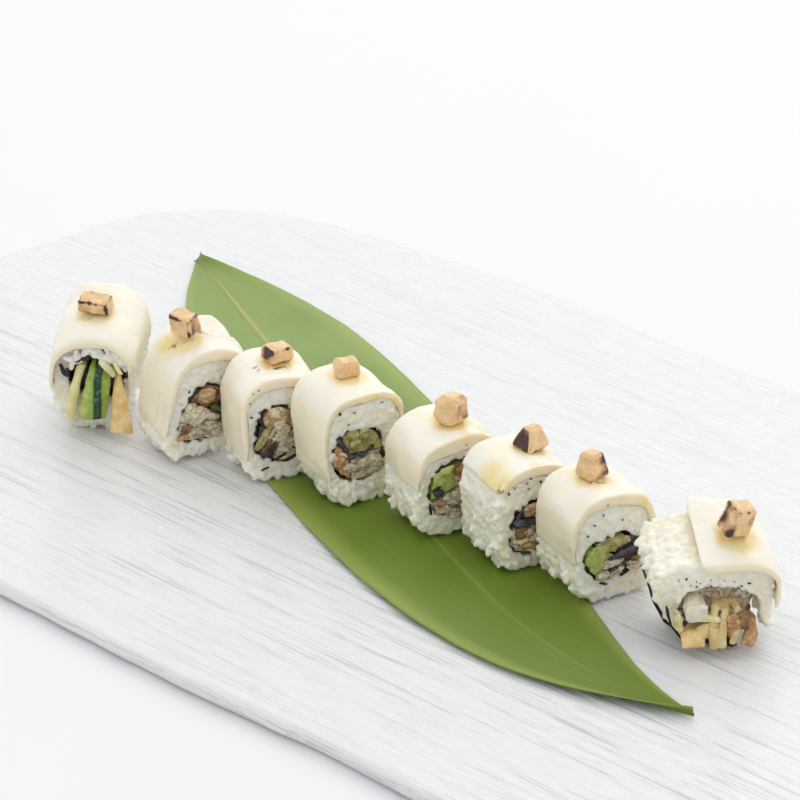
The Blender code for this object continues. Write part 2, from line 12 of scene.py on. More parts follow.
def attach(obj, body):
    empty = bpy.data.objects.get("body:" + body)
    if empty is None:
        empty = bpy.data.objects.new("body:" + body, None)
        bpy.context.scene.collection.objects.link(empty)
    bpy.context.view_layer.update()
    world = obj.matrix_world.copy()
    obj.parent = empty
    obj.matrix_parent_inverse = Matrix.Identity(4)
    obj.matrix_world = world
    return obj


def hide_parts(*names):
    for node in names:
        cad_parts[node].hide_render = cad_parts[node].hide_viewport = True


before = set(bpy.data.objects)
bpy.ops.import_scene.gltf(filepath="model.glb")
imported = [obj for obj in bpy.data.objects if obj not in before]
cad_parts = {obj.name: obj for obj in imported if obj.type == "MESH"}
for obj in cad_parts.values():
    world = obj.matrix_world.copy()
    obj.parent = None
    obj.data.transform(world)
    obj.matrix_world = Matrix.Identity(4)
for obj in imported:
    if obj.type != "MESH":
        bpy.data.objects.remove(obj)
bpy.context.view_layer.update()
MM = 0.001


# The plate
# A thick slab of clear glass, slumped in a kiln over a brushed bed: its top is drawn
# into fine streaks that run along it, and its rim is melted round and slightly uneven.
PLATE_HALF = (233.6, 132.6)
PLATE_POWER = 4.3
PLATE_TOP = 5.5
STREAK_SINK = 0.15
RIM_INSET = 2.4
# How far the melted rim stands out below the top's edge, and at what height, going down
RIM_STEPS = ((0.9, 5.15), (0.9, 4.3), (0.45, 3.2), (0.0, 2.0), (-0.7, 0.8), (-1.9, 0.0))


def tone(red, green, blue):
    """A colour as the eye reads it, 0 to 255, as the shader wants it."""
    return tuple(((v / 255 + 0.055) / 1.055) ** 2.4 if v > 10 else v / 255 / 12.92
                 for v in (red, green, blue)) + (1.0,)


def lay_out(bm, name, finish, slot_name, *nodes):
    """Makes the mesh a piece of the dish, which stands for these CAD nodes."""
    mesh = bpy.data.meshes.new(name)
    bm.to_mesh(mesh)
    bm.free()
    mesh.shade_smooth()
    mesh.materials.append(finish)
    piece = bpy.data.objects.new(name, mesh)
    bpy.context.scene.collection.objects.link(piece)
    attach(piece, "root")
    if nodes:
        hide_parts(*nodes)


class Nodes:
    """A shader node tree, and short ways to add nodes to it."""

    def __init__(self, tree):
        self.tree = tree

    def node(self, kind, **settings):
        made = self.tree.nodes.new(kind)
        for key, value in settings.items():
            setattr(made, key, value)
        return made

    def join(self, source, target):
        self.tree.links.new(source, target)

    def feed(self, item, target):
        """Gives a socket a plain value, or links another socket to it."""
        if isinstance(item, (int, float, tuple)):
            target.default_value = item
        else:
            self.join(item, target)

    def place(self, scale=(1, 1, 1), turn=0.0):
        """Object coordinates in millimetres, stretched and turned about Z."""
        here = self.node("ShaderNodeTexCoord").outputs["Object"]
        spread = self.node("ShaderNodeMapping")
        spread.inputs["Scale"].default_value = tuple(v / MM for v in scale)
        spread.inputs["Rotation"].default_value = (0, 0, turn)
        self.join(here, spread.inputs["Vector"])
        return spread.outputs["Vector"]

    def grain(self, vector, scale, detail=2.0, rough=0.5):
        """Soft noise, with about so many spots to the unit of the place given."""
        made = self.node("ShaderNodeTexNoise")
        self.feed(scale, made.inputs["Scale"])
        made.inputs["Detail"].default_value = detail
        made.inputs["Roughness"].default_value = rough
        self.join(vector, made.inputs["Vector"])
        return made.outputs["Fac"]

    def step(self, value, low, high, to_low=0.0, to_high=1.0):
        """A soft step between two numbers, as the value goes from low to high."""
        made = self.node("ShaderNodeMapRange", interpolation_type="SMOOTHSTEP")
        ends = {"Value": value, "From Min": low, "From Max": high, "To Min": to_low, "To Max": to_high}
        for key, item in ends.items():
            self.feed(item, made.inputs[key])
        return made.outputs["Result"]

    def times(self, one, two):
        """One value times another, held between 0 and 1."""
        made = self.node("ShaderNodeMath", operation="MULTIPLY", use_clamp=True)
        self.feed(one, made.inputs[0])
        self.feed(two, made.inputs[1])
        return made.outputs["Value"]

    def mix(self, share, one, two):
        """Two colours mixed by a share."""
        made = self.node("ShaderNodeMix", data_type="RGBA")
        one_in, two_in = (socket for socket in made.inputs if socket.type == "RGBA")
        self.feed(share, made.inputs["Factor"])
        self.feed(one, one_in)
        self.feed(two, two_in)
        return next(socket for socket in made.outputs if socket.type == "RGBA")


class Finish(Nodes):
    """A material with its Principled shader."""

    def __init__(self, name, rough, **sockets):
        self.mat = bpy.data.materials.new(name)
        self.mat.use_nodes = True
        super().__init__(self.mat.node_tree)
        self.shader = self.tree.nodes["Principled BSDF"]
        self.shader.inputs["Roughness"].default_value = rough
        for socket, value in sockets.items():
            self.shader.inputs[socket.replace("_", " ")].default_value = value

    def mark(self, name):
        """A value that the mesh carries from point to point."""
        return self.node("ShaderNodeAttribute", attribute_name=name).outputs["Fac"]

    def colour(self, source):
        self.join(source, self.shader.inputs["Base Color"])

    def relief(self, height, depth_mm):
        bump = self.node("ShaderNodeBump")
        bump.inputs["Strength"].default_value = 1.0
        bump.inputs["Distance"].default_value = depth_mm * MM
        self.join(height, bump.inputs["Height"])
        self.join(bump.outputs["Normal"], self.shader.inputs["Normal"])


def ease(x):
    """A soft step from 0 to 1."""
    x = min(1.0, max(0.0, x))
    return x * x * (3.0 - 2.0 * x)


def plate_streaks(x, y):
    """The height of the brushed streaks in the glass, in mm."""
    calm = 0.35 + 0.65 * ease((15.0 - y) / 70.0)
    y = y + 2.2 * math.sin(0.013 * x + 1.0) + 0.9 * math.sin(0.05 * x)
    broad = noise.noise((0.010 * x, 0.16 * y, 2.0))
    fine = noise.noise((0.020 * x, 0.42 * y, 7.0))
    fine += 0.6 * noise.noise((0.034 * x, 0.85 * y, 11.0))
    patch = 0.5 + 0.5 * noise.noise((0.012 * x, 0.02 * y, 21.0))
    return (0.10 * broad + 0.26 * patch * fine) * calm


slab = bmesh.new()
bmesh.ops.create_grid(slab, x_segments=120, y_segments=330, size=1.0)
for v in slab.verts:
    u, w = v.co.x, v.co.y
    t = math.atan2(w, u)
    square = max(abs(u), abs(w))
    reach = (abs(u) ** PLATE_POWER + abs(w) ** PLATE_POWER) ** (1 / PLATE_POWER) or 1.0
    ripple = (0.7 * math.sin(11 * t) + 0.5 * math.sin(17 * t + 1.0)) * square ** 8
    x = (PLATE_HALF[0] - RIM_INSET + ripple) * u * square / reach
    y = (PLATE_HALF[1] - RIM_INSET + ripple) * w * square / reach
    # The streaks fade out at the rim
    inward = min(1.0, (1.0 - square) * 18)
    v.co = Vector((x, y, PLATE_TOP - STREAK_SINK + plate_streaks(x, y) * inward)) * MM
rim = [e for e in slab.edges if e.is_boundary]
for out, level in RIM_STEPS:
    made = bmesh.ops.extrude_edge_only(slab, edges=rim)["geom"]
    rim = [e for e in made if isinstance(e, bmesh.types.BMEdge)]
    for v in [g for g in made if isinstance(g, bmesh.types.BMVert)]:
        flat = Vector((v.co.x, v.co.y, 0))
        lean = Vector([math.copysign(abs(c / half) ** (PLATE_POWER - 1), c) / half
                       for c, half in zip(flat.xy / MM, PLATE_HALF)] + [0.0]).normalized()
        wave = 1.0 + 0.5 * noise.noise(flat * 60)
        v.co = flat + lean * out * wave * MM + Vector((0, 0, level * MM))
rim = [e for e in slab.edges if e.is_boundary]
bmesh.ops.contextual_create(slab, geom=rim)
bmesh.ops.recalc_face_normals(slab, faces=slab.faces)

# The glass is partly milky: light has to come back from it as it does from the white
# table under it, which lamps don't reach through a fully clear slab
glass = Finish("clear_glass", 0.08, Transmission_Weight=0.16, IOR=1.46)
strands = glass.grain(glass.place((0.016, 0.34, 0.5)), 1.0, 4.0, 0.62)
fine = glass.grain(glass.place((0.030, 1.1, 1.0)), 1.0, 3.0, 0.6)
patchy = glass.grain(glass.place((0.010, 0.02, 1.0)), 1.0, 1.0)
# Painted shade: grey streaks in the base colour stand in for the light that the rippled glass bends
# away and shadows
dull = glass.times(glass.step(strands, 0.47, 0.60), glass.step(fine, 0.46, 0.60))
dull = glass.times(dull, glass.step(patchy, 0.35, 0.6, 0.35, 1.0))
# The painted streak shade is weaker towards the far side
sides = glass.node("ShaderNodeSeparateXYZ")
glass.join(glass.node("ShaderNodeTexCoord").outputs["Object"], sides.inputs["Vector"])
dull = glass.times(dull, glass.step(sides.outputs["Y"], -0.05, 0.06, 1.0, 0.35))
# Painted highlight: the finest streaks are lightened to pure white as glints
clear = glass.mix(glass.step(fine, 0.56, 0.70), tone(249, 250, 250), tone(255, 255, 255))
glass.colour(glass.mix(dull, clear, tone(214, 218, 220)))
glass.relief(fine, 0.50)
lay_out(slab, "glass_plate", glass.mat, "glass", "plate")


# The leaf
# A fresh bamboo leaf, wiped and laid flat as a liner. It is one soft green sheet with a
# tan midrib at its stalk and fine veins that run from end to end beside it.
LEAF_BASE = (-181.3, 66.7)
LEAF_TIP = (142.0, -50.8)
LEAF_HALF = 33.5
LEAF_WIDEST = 0.38
LEAF_BOW = -28.5
LEAF_LOW = PLATE_TOP + 0.3
LEAF_THICK = 0.45

# The slices on it, from left to right: place, turn, height of the foot, height and depth
# of the body, how far its front drops, and its lean
SLICES = {
    1: dict(at=(-119.9, -33.9), turn=36, base=5.8, high=40.0, deep=24.0, drop=7.0, shear=0.02),
    2: dict(at=(-82.0, -29.3), turn=71, base=6.8, high=37.0, deep=20.8, drop=1.5, shear=0.16),
    3: dict(at=(-53.2, -22.8), turn=64, base=6.8, high=35.5, deep=21.0, drop=1.0, shear=0.05),
    4: dict(at=(-24.9, -18.2), turn=72, base=6.8, high=38.0, deep=21.5, drop=1.0, shear=-0.02),
    5: dict(at=(9.9, -12.6), turn=69, base=6.8, high=33.0, deep=22.0, drop=0.5, shear=-0.04),
    6: dict(at=(40.3, -12.5), turn=73, base=6.8, high=33.5, deep=22.0, drop=0.5, shear=0.0),
    7: dict(at=(69.8, -11.0), turn=72, base=6.8, high=34.6, deep=22.0, drop=0.6, shear=-0.02),
    8: dict(at=(112.2, -9.0), turn=52, base=7.0, high=32.0, deep=22.0, drop=6.0, shear=-0.2),
}


def leaf_spot(s, q):
    """A place on the leaf in mm: s runs from stalk to tip, q from near to far edge."""
    length = math.dist(LEAF_BASE, LEAF_TIP)
    dx, dy = (LEAF_TIP[0] - LEAF_BASE[0]) / length, (LEAF_TIP[1] - LEAF_BASE[1]) / length
    if s < LEAF_WIDEST:
        half = LEAF_HALF * (1 - (1 - s / LEAF_WIDEST) ** 2.2)
    else:
        half = LEAF_HALF * (1 - ((s - LEAF_WIDEST) / (1 - LEAF_WIDEST)) ** 3.2)
    half = max(half, 1.3 if s < 0.5 else 0.25)
    half += 0.35 * noise.noise((s * 26, 3.0 + q, 0)) * min(1, abs(q))
    off = LEAF_BOW * s * (1 - s ** 8) + q * half
    return LEAF_BASE[0] + dx * s * length - dy * off, LEAF_BASE[1] + dy * s * length + dx * off


blade = bmesh.new()
bmesh.ops.create_grid(blade, x_segments=150, y_segments=44, size=1.0)
run = blade.verts.layers.float.new("run")
side = blade.verts.layers.float.new("side")
for v in blade.verts:
    s, q = (v.co.x + 1) / 2, v.co.y
    x, y = leaf_spot(s, q)
    near = min(math.dist((x, y), item["at"]) for item in SLICES.values())
    # The slices hold the leaf down; away from them it lifts, most at its edges
    free = ease((near - 25.0) / 22.0)
    curl = 1.3 * abs(q) ** 3 * (1 + math.sin(9.0 * s + 2.0 * q))
    lift = free * (0.6 + curl + 0.35 * math.sin(23 * s + 3 * q))
    rib = 0.45 * math.exp(-(q / 0.035) ** 2) * (1.1 - s)
    pleat = 0.05 * math.sin(q * 60) * free
    v.co = Vector((x, y, LEAF_LOW + 0.5 + lift + pleat)) * MM
    v.co.z += rib * MM * free
    v[run], v[side] = s, q
bmesh.ops.solidify(blade, geom=blade.faces, thickness=LEAF_THICK * MM)
bmesh.ops.recalc_face_normals(blade, faces=blade.faces)

green = Finish("bamboo_leaf", 0.42, Specular_IOR_Level=0.4)
run_mark, side_mark = green.mark("run"), green.mark("side")
veins = green.node("ShaderNodeCombineXYZ")
green.join(run_mark, veins.inputs["X"])
green.join(side_mark, veins.inputs["Y"])
stretch = green.node("ShaderNodeMapping")
stretch.inputs["Scale"].default_value = (5.0, 70.0, 1.0)
green.join(veins.outputs["Vector"], stretch.inputs["Vector"])
threads = green.grain(stretch.outputs["Vector"], 1.0, 3.0, 0.6)
blotch = green.grain(green.place(), 0.035, 2.0)
# Painted reflection: lighter, greyer green towards the stalk end, where the leaf's sheen reflects the
# bright surroundings, and deeper green towards the tip
body = green.mix(green.step(run_mark, 0.22, 0.55), tone(134, 157, 78), tone(102, 127, 30))
body = green.mix(green.step(threads, 0.35, 0.75, 0.0, 0.35), body, tone(130, 152, 46))
body = green.mix(green.step(blotch, 0.35, 0.75, 0.0, 0.25), body, tone(88, 114, 30))
edge = green.node("ShaderNodeMath", operation="ABSOLUTE")
green.join(side_mark, edge.inputs[0])
edge = edge.outputs["Value"]
body = green.mix(green.step(edge, 0.70, 1.0, 0.0, 0.6), body, tone(158, 174, 84))
middle = green.step(edge, 0.0, 0.04, 1.0, 0.0)
stalk = green.mix(green.step(run_mark, 0.1, 0.42), tone(190, 170, 100), tone(140, 158, 70))
midrib = green.times(middle, green.step(run_mark, 0.3, 0.9, 0.95, 0.35))
body = green.mix(midrib, body, stalk)
# Pale whitish streaks along the veins, in patches
scuff = green.times(green.step(threads, 0.62, 0.72), green.step(blotch, 0.42, 0.60, 0.1, 0.6))
green.colour(green.mix(scuff, body, tone(190, 204, 132)))
green.join(green.step(threads, 0.3, 0.8, 0.38, 0.58), green.shader.inputs["Roughness"])
green.relief(threads, 0.12)
lay_out(blade, "leaf_blade", green.mat, "leaf", "leaf")


# The rice
# Short-grain rice, seasoned and still moist, pressed round the filling with a bamboo mat.
# The grains lie in all directions, sunk into each other, and stand out along the sides.
def spot(n, a, d, z):
    """From a slice's own across, forward and up, in mm, to the plate's frame in metres."""
    s = SLICES[n]
    up, share = z / s["high"], d / s["deep"]
    # Each slice leans, droops to the front and is pressed a little out of true
    wave = 0.4 + share * 0.5
    a2 = a + s["shear"] * (z - 0.4 * s["high"]) + wave * math.sin(0.19 * z + 1.9 * n)
    d2 = d + 0.5 * math.sin(0.16 * a + 0.13 * z + 2.3 * n)
    z2 = z + up * wave * math.sin(0.22 * a + 1.3 * n)
    z2 -= s["drop"] * (share + 0.5) * up * abs(up)
    t = math.radians(s["turn"])
    x = s["at"][0] + a2 * math.cos(t) + d2 * math.sin(t)
    y = s["at"][1] + a2 * math.sin(t) - d2 * math.cos(t)
    return Vector((x, y, s["base"] + z2)) * MM


def local(n, co):
    """From the plate's frame back to a slice's across, forward and up, near enough."""
    s = SLICES[n]
    t = math.radians(s["turn"])
    x, y = co.x / MM - s["at"][0], co.y / MM - s["at"][1]
    a = x * math.cos(t) + y * math.sin(t)
    d = x * math.sin(t) - y * math.cos(t)
    return a, d, co.z / MM - s["base"]


def forward(n):
    """The way a slice's cut face looks."""
    t = math.radians(SLICES[n]["turn"])
    return Vector((math.sin(t), -math.cos(t), 0))


def cad_copy(node):
    """A welded copy of a CAD node's mesh."""
    bm = bmesh.new()
    bm.from_mesh(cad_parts[node].data)
    bmesh.ops.remove_doubles(bm, verts=bm.verts, dist=1e-6)
    bm.normal_update()
    return bm


def melt(bm, cell_mm):
    """One closed skin round everything in the mesh."""
    mesh = bpy.data.meshes.new("melt")
    bm.to_mesh(mesh)
    bm.free()
    rough = bpy.data.objects.new("melt", mesh)
    bpy.context.scene.collection.objects.link(rough)
    skin = rough.modifiers.new("skin", "REMESH")
    skin.mode = "VOXEL"
    skin.voxel_size = cell_mm * MM
    bpy.context.view_layer.update()
    out = bmesh.new()
    done = rough.evaluated_get(bpy.context.evaluated_depsgraph_get()).to_mesh()
    out.from_mesh(done)
    bpy.data.objects.remove(rough, do_unlink=True)
    bpy.data.meshes.remove(mesh)
    out.normal_update()
    return out


def soften(bm, times, factor=0.5):
    """Smooths the mesh this many times."""
    for _ in range(times):
        bmesh.ops.smooth_vert(bm, verts=bm.verts, factor=factor,
                              use_axis_x=True, use_axis_y=True, use_axis_z=True)
    bm.normal_update()


def skin_of(*nodes):
    """A search tree of CAD nodes' surfaces."""
    bm = bmesh.new()
    for node in nodes:
        bm.from_mesh(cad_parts[node].data)
    tree = BVHTree.FromBMesh(bm)
    bm.free()
    return tree


def egg(bm, heart, lie, second, half_long, half_wide, flat=0.9, bend=0.0):
    """A long rounded body with its ends along lie."""
    third = lie.cross(second)
    for v in bmesh.ops.create_uvsphere(bm, u_segments=7, v_segments=6, radius=1.0)["verts"]:
        x, y, z = v.co
        # Fuller towards its ends than a ball drawn out would be
        blunt = max(math.hypot(x, y), 0.05) ** -0.35
        x, y = x * blunt, y * blunt
        along = lie * z * half_long
        over = second * (x + bend * z * z) * half_wide
        v.co = heart + (along + over + third * y * half_wide * flat) * MM


def pour(some, whole):
    """Tips a small mesh into a big one and empties it."""
    mesh = bpy.data.meshes.new("pour")
    some.to_mesh(mesh)
    whole.from_mesh(mesh)
    bpy.data.meshes.remove(mesh)
    some.clear()


# A slice is strewn with this many tries; a grain stays where none lies nearer than the
# gap, which is in metres
GRAIN_TRIES = 5200
GRAIN_GAP = 0.0015
GRAIN_HALF_LONG = 1.85
GRAIN_HALF_WIDE = 1.06
# Grains are shaped by the handful, of so many points: one big mesh would slow each down
HANDFUL = 1500
# How far the bare core is drawn in, and the size of the cells that melt it to its grains
CORE_SINK = 0.55
RICE_CELL = 0.34

rice = Finish("moist_rice", 0.32, Subsurface_Weight=0.7, Subsurface_Scale=0.004,
              Specular_IOR_Level=0.5)
rice.shader.inputs["Subsurface Radius"].default_value = (1.0, 0.85, 0.7)
specks = rice.grain(rice.place(), 0.9, 2.0)
cloud = rice.grain(rice.place(), 0.12, 1.0)
shade = rice.mix(rice.step(specks, 0.35, 0.7), tone(253, 243, 225), tone(255, 251, 240))
shade = rice.mix(rice.step(cloud, 0.4, 0.7, 0.0, 0.5), shade, tone(244, 231, 206))
# Painted shade in the hollows between the grains
deep = rice.step(rice.mark("deep"), 0.0, 1.0)
rice.colour(rice.mix(rice.times(deep, 0.45), shade, tone(232, 217, 186)))
rice.join(rice.step(specks, 0.3, 0.8, 0.22, 0.46), rice.shader.inputs["Roughness"])
rice.relief(rice.grain(rice.place(), 1.6, 2.0), 0.10)

for n, item in SLICES.items():
    rng = random.Random(500 + n)
    core = cad_copy(f"rice_{n}")
    covers = [f"fish_{n}"] + (["fish_2_back"] if n == 2 else [])
    cover = skin_of(*covers)
    inner = skin_of(f"nori_{n}")
    faces = [f for f in core.faces if f.calc_area() > 1e-9]
    places = []
    for index in rng.choices(range(len(faces)), [f.calc_area() for f in faces], k=GRAIN_TRIES):
        face = faces[index]
        a, b, c = (v.co for v in face.verts[:3])
        r, w = rng.random() ** 0.5, rng.random()
        places.append((a * (1 - r) + b * (r * (1 - w)) + c * (r * w), face.normal.copy()))
    for v in core.verts:
        if cover.find_nearest(v.co)[3] > 0.0012 and inner.find_nearest(v.co)[3] > 0.0012:
            v.co -= v.normal * CORE_SINK * MM
    # The grains laid so far, by the cell of space that they lie in
    taken = {}
    handful = bmesh.new()
    for at, normal in places:
        # No grain on the underside, nor where the fish or the nori covers the rice
        if normal.z < -0.7 and at.z < 0.009:
            continue
        cut_face = abs(local(n, at)[1]) > item["deep"] / 2 - 1.6 and abs(normal.z) < 0.5
        if not cut_face and cover.ray_cast(at + normal * 1e-5, normal, 0.006)[0]:
            continue
        if inner.ray_cast(at + normal * 1e-5, normal, 0.004)[0]:
            continue
        if cover.find_nearest(at)[3] < (0.0004 if cut_face else 0.0011):
            continue
        if not cut_face and inner.find_nearest(at)[3] < 0.0011:
            continue
        cell = tuple(int(c // GRAIN_GAP) for c in at)
        beside = (other for move in product((-1, 0, 1), repeat=3)
                  for other in taken.get(tuple(c + m for c, m in zip(cell, move)), ()))
        if any((at - other).length < GRAIN_GAP for other in beside):
            continue
        taken.setdefault(cell, []).append(at)
        lie = Vector((rng.uniform(-1, 1), rng.uniform(-1, 1), rng.uniform(-0.8, 0.8)))
        lie = (lie - normal * lie.dot(normal) * rng.uniform(0.88, 1.0)).normalized()
        second = normal.cross(lie).normalized()
        size = rng.uniform(0.88, 1.1)
        sink = rng.uniform(0.25, 0.7) if cut_face else rng.uniform(0.3, 0.9)
        heart = at - normal * sink * MM
        heart.z = max(heart.z, item["base"] * MM + 0.0007)
        egg(handful, heart, lie, second, GRAIN_HALF_LONG * size, GRAIN_HALF_WIDE * size, 0.88,
            rng.uniform(-0.2, 0.2))
        if len(handful.verts) > HANDFUL:
            pour(handful, core)
    # Some grains hang loose at the foot of these two slices
    if n in (4, 6):
        for _ in range(5):
            heart = spot(n, rng.uniform(-9, 7), item["deep"] / 2 + rng.uniform(0.2, 1.6),
                         rng.uniform(1.2, 5.0))
            lie = Vector((rng.uniform(-0.3, 0.3), rng.uniform(-0.3, 0.3), 1.0)).normalized()
            egg(handful, heart, lie, lie.orthogonal().normalized(), 1.9, 1.0)
    pour(handful, core)
    handful.free()
    body = melt(core, RICE_CELL)
    soften(body, 2, 0.45)
    sunk = body.verts.layers.float.new("deep")
    # Painted shade: the hollows between the grains are darkened a little
    hull = skin_of(f"rice_{n}")
    for v in body.verts:
        near, out, _, _ = hull.find_nearest(v.co)
        v[sunk] = ease((0.25 - (v.co - near).dot(out) / MM) / 1.0)
    lay_out(body, f"rice_grains_{n}", rice.mat, "rice", f"rice_{n}")


# The fish
# Thin slices of raw white fish, laid over the rice and pressed on, then seared with a
# torch. They are creamy on top and warmer where cut, with yellow juice along their edges.
FISH_CELL = 0.45
RIM_ROUND = 0.5

fish = Finish("seared_white_fish", 0.34, Subsurface_Weight=0.25, Subsurface_Scale=0.003,
              Specular_IOR_Level=0.5)
fish.shader.inputs["Subsurface Radius"].default_value = (1.0, 0.7, 0.45)
cloud = fish.grain(fish.place(), 0.09, 2.0)
fibre = fish.grain(fish.place((0.25, 0.9, 0.9), 0.4), 0.7, 3.0)
flesh = fish.mix(fish.step(cloud, 0.35, 0.68), tone(252, 245, 231), tone(250, 240, 220))
flesh = fish.mix(fish.step(fibre, 0.4, 0.8, 0.0, 0.30), flesh, tone(247, 236, 211))
# Warmer on the cut end; on the steep sides this darker tone is partly painted shade
flesh = fish.mix(fish.step(fish.mark("cut"), 0.2, 0.9, 0.0, 0.75), flesh, tone(247, 230, 198))
patches = fish.grain(fish.place(), 0.25, 2.0)
juice = fish.times(fish.mark("juice"), fish.step(patches, 0.25, 0.75, 0.55, 1.0))
flesh = fish.mix(fish.times(juice, 0.95), flesh, tone(242, 218, 132))
spots = fish.step(fish.grain(fish.place(), 0.55, 2.0), 0.55, 0.61)
char = fish.times(fish.mark("char"), spots)
fish.colour(fish.mix(char, flesh, tone(64, 40, 24)))
fish.join(fish.step(juice, 0.0, 1.0, 0.38, 0.12), fish.shader.inputs["Roughness"])
fish.relief(fibre, 0.10)

# Where juice or a burn shows: across, forward, up, reach in mm, and strength
JUICE = {
    2: ((-11, -2, 34, 6, 1.0), (-8, 3, 35, 4, 0.7)),
    3: ((9, 8, 29, 5, 0.7),), 4: ((-3, 11, 33, 4, 0.8), (3, 11, 33, 5, 0.9), (9, 11, 31, 4, 0.7)),
    5: ((10, 9, 29, 5, 1.0), (3, 11, 32, 3, 0.5)),
    6: ((-13, 4, 31, 7, 1.0), (-12, 10, 31, 6, 1.0), (12, 11, 31, 4, 0.8), (0, 11, 33, 3, 0.5)),
    7: ((9, 11, 30, 4, 0.6), (-9, 10, 29, 3, 0.4)), 8: ((6, 11, 28, 4, 0.5), (-9, 9, 28, 4, 0.6)),
}
BURNS = {
    1: ((-3, 4, 38, 3, 0.5),), 2: ((-2, 0, 35, 4, 1.0), (-9, 1, 33, 3, 0.9), (3, 1, 35, 3, 0.7)),
    3: ((0, 4, 35, 4, 0.8), (-6, 2, 35, 3, 0.6)), 6: ((-13, 11, 30, 3, 1.0), (5, 10, 33, 3, 0.6)),
    7: ((-2, 3, 34, 3, 0.6),), 8: ((4, 2, 30, 4, 0.8),),
}


def reach(n, v, marks):
    """How strongly the nearest of some marks holds at a place."""
    best = 0.0
    for a, d, z, size, strength in marks:
        away = (v.co - spot(n, a, d, z)).length / MM
        best = max(best, strength * (1.0 - ease(away / size - 0.25)))
    return best


def drape(bm):
    """Rounds a CAD slab's facets and cut rims, as soft flesh is rounded."""
    bmesh.ops.join_triangles(bm, faces=bm.faces, angle_face_threshold=0.5, angle_shape_threshold=3.1)
    sharp = [e for e in bm.edges if len(e.link_faces) == 2 and e.calc_face_angle() > 0.9]
    bmesh.ops.bevel(bm, geom=sharp, affect="EDGES", offset=RIM_ROUND * MM, segments=2,
                    profile=0.5, material=-1, clamp_overlap=True)
    mesh = bpy.data.meshes.new("drape")
    bm.to_mesh(mesh)
    bm.free()
    rough = bpy.data.objects.new("drape", mesh)
    bpy.context.scene.collection.objects.link(rough)
    skin = rough.modifiers.new("round", "SUBSURF")
    skin.levels = skin.render_levels = 2
    bpy.context.view_layer.update()
    out = bmesh.new()
    out.from_mesh(rough.evaluated_get(bpy.context.evaluated_depsgraph_get()).to_mesh())
    bpy.data.objects.remove(rough, do_unlink=True)
    bpy.data.meshes.remove(mesh)
    return out


for n, item in SLICES.items():
    nodes = [f"fish_{n}"] + (["fish_2_back"] if n == 2 else [])
    ahead_way = forward(n)
    dice = [v.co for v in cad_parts[f"cube_{n}"].data.vertices]
    foot = sum(dice, Vector()) / len(dice)
    foot.z = min(co.z for co in dice)
    for node in nodes:
        layer = melt(drape(cad_copy(node)), FISH_CELL)
        soften(layer, 3)
        cut = layer.verts.layers.float.new("cut")
        wet = layer.verts.layers.float.new("juice")
        burnt = layer.verts.layers.float.new("char")
        for v in layer.verts:
            # The cut end is warmer flesh; the steep sides get the same darker, warmer tone, partly the
            # flesh's colour and partly painted shade; juice pools round the cube's foot
            face = v.normal.dot(ahead_way)
            v[cut] = max(ease((face - 0.35) / 0.5), 0.85 * ease((0.7 - v.normal.z) / 0.6))
            flat = Vector((v.co.x - foot.x, v.co.y - foot.y, 0.6 * (v.co.z - foot.z)))
            pool = 1.0 - ease((flat.length / MM - 4.6 - 1.2 * noise.noise(v.co * 220)) / 3.2)
            v[wet] = max(0.95 * pool, reach(n, v, JUICE.get(n, ())))
            v[burnt] = reach(n, v, BURNS.get(n, ()))
        for v in layer.verts:
            bump = noise.noise(v.co * 110 + Vector((n, 0, 0))) * 0.55
            bump += noise.noise(v.co * 380) * 0.13
            fold = noise.noise(Vector((v.co.x * 40, v.co.y * 40, v.co.z * 220 + n))) * 0.25
            v.co += v.normal * (bump + fold) * MM
        lay_out(layer, node.replace("fish", "fish_slice"), fish.mat, "fish", node)


# The nori
# A sheet of dried seaweed, softened by the rice and torn by the knife, so that its cut
# edge is a thin ragged black line round the filling, broken where the rice covers it.
NORI_TEAR = 2.6
NORI_SINK = 1.5
NORI_CRUMPLE = 0.5

nori = Finish("nori", 0.5, Specular_IOR_Level=0.4)
weave = nori.grain(nori.place(), 0.8, 4.0, 0.7)
nori.colour(nori.mix(nori.step(weave, 0.3, 0.75), tone(18, 18, 14), tone(58, 54, 40)))
nori.join(nori.step(weave, 0.3, 0.8, 0.35, 0.7), nori.shader.inputs["Roughness"])
nori.relief(weave, 0.2)

for n in SLICES:
    ring = cad_copy(f"nori_{n}")
    bmesh.ops.subdivide_edges(ring, edges=ring.edges, cuts=4, use_grid_fill=True)
    bmesh.ops.triangulate(ring, faces=ring.faces)
    for v in ring.verts:
        ragged = noise.noise(v.co * 190 + Vector((n, 3, 0))) + 0.5 * noise.noise(v.co * 600)
        if local(n, v.co)[1] > 4:
            v.co += forward(n) * (NORI_TEAR * ragged - NORI_SINK) * MM
        crumple = Vector([noise.noise(v.co * pitch) for pitch in (240, 250, 230)])
        v.co += crumple * NORI_CRUMPLE * MM
    lay_out(ring, f"nori_sheet_{n}", nori.mat, "nori", f"nori_{n}")


# The filling
# Flaked grilled eel, fried bits, cucumber, green stems and strips of dark skin run
# through the roll, packed by hand and cut through with it.
FOOD_CELL = 0.36

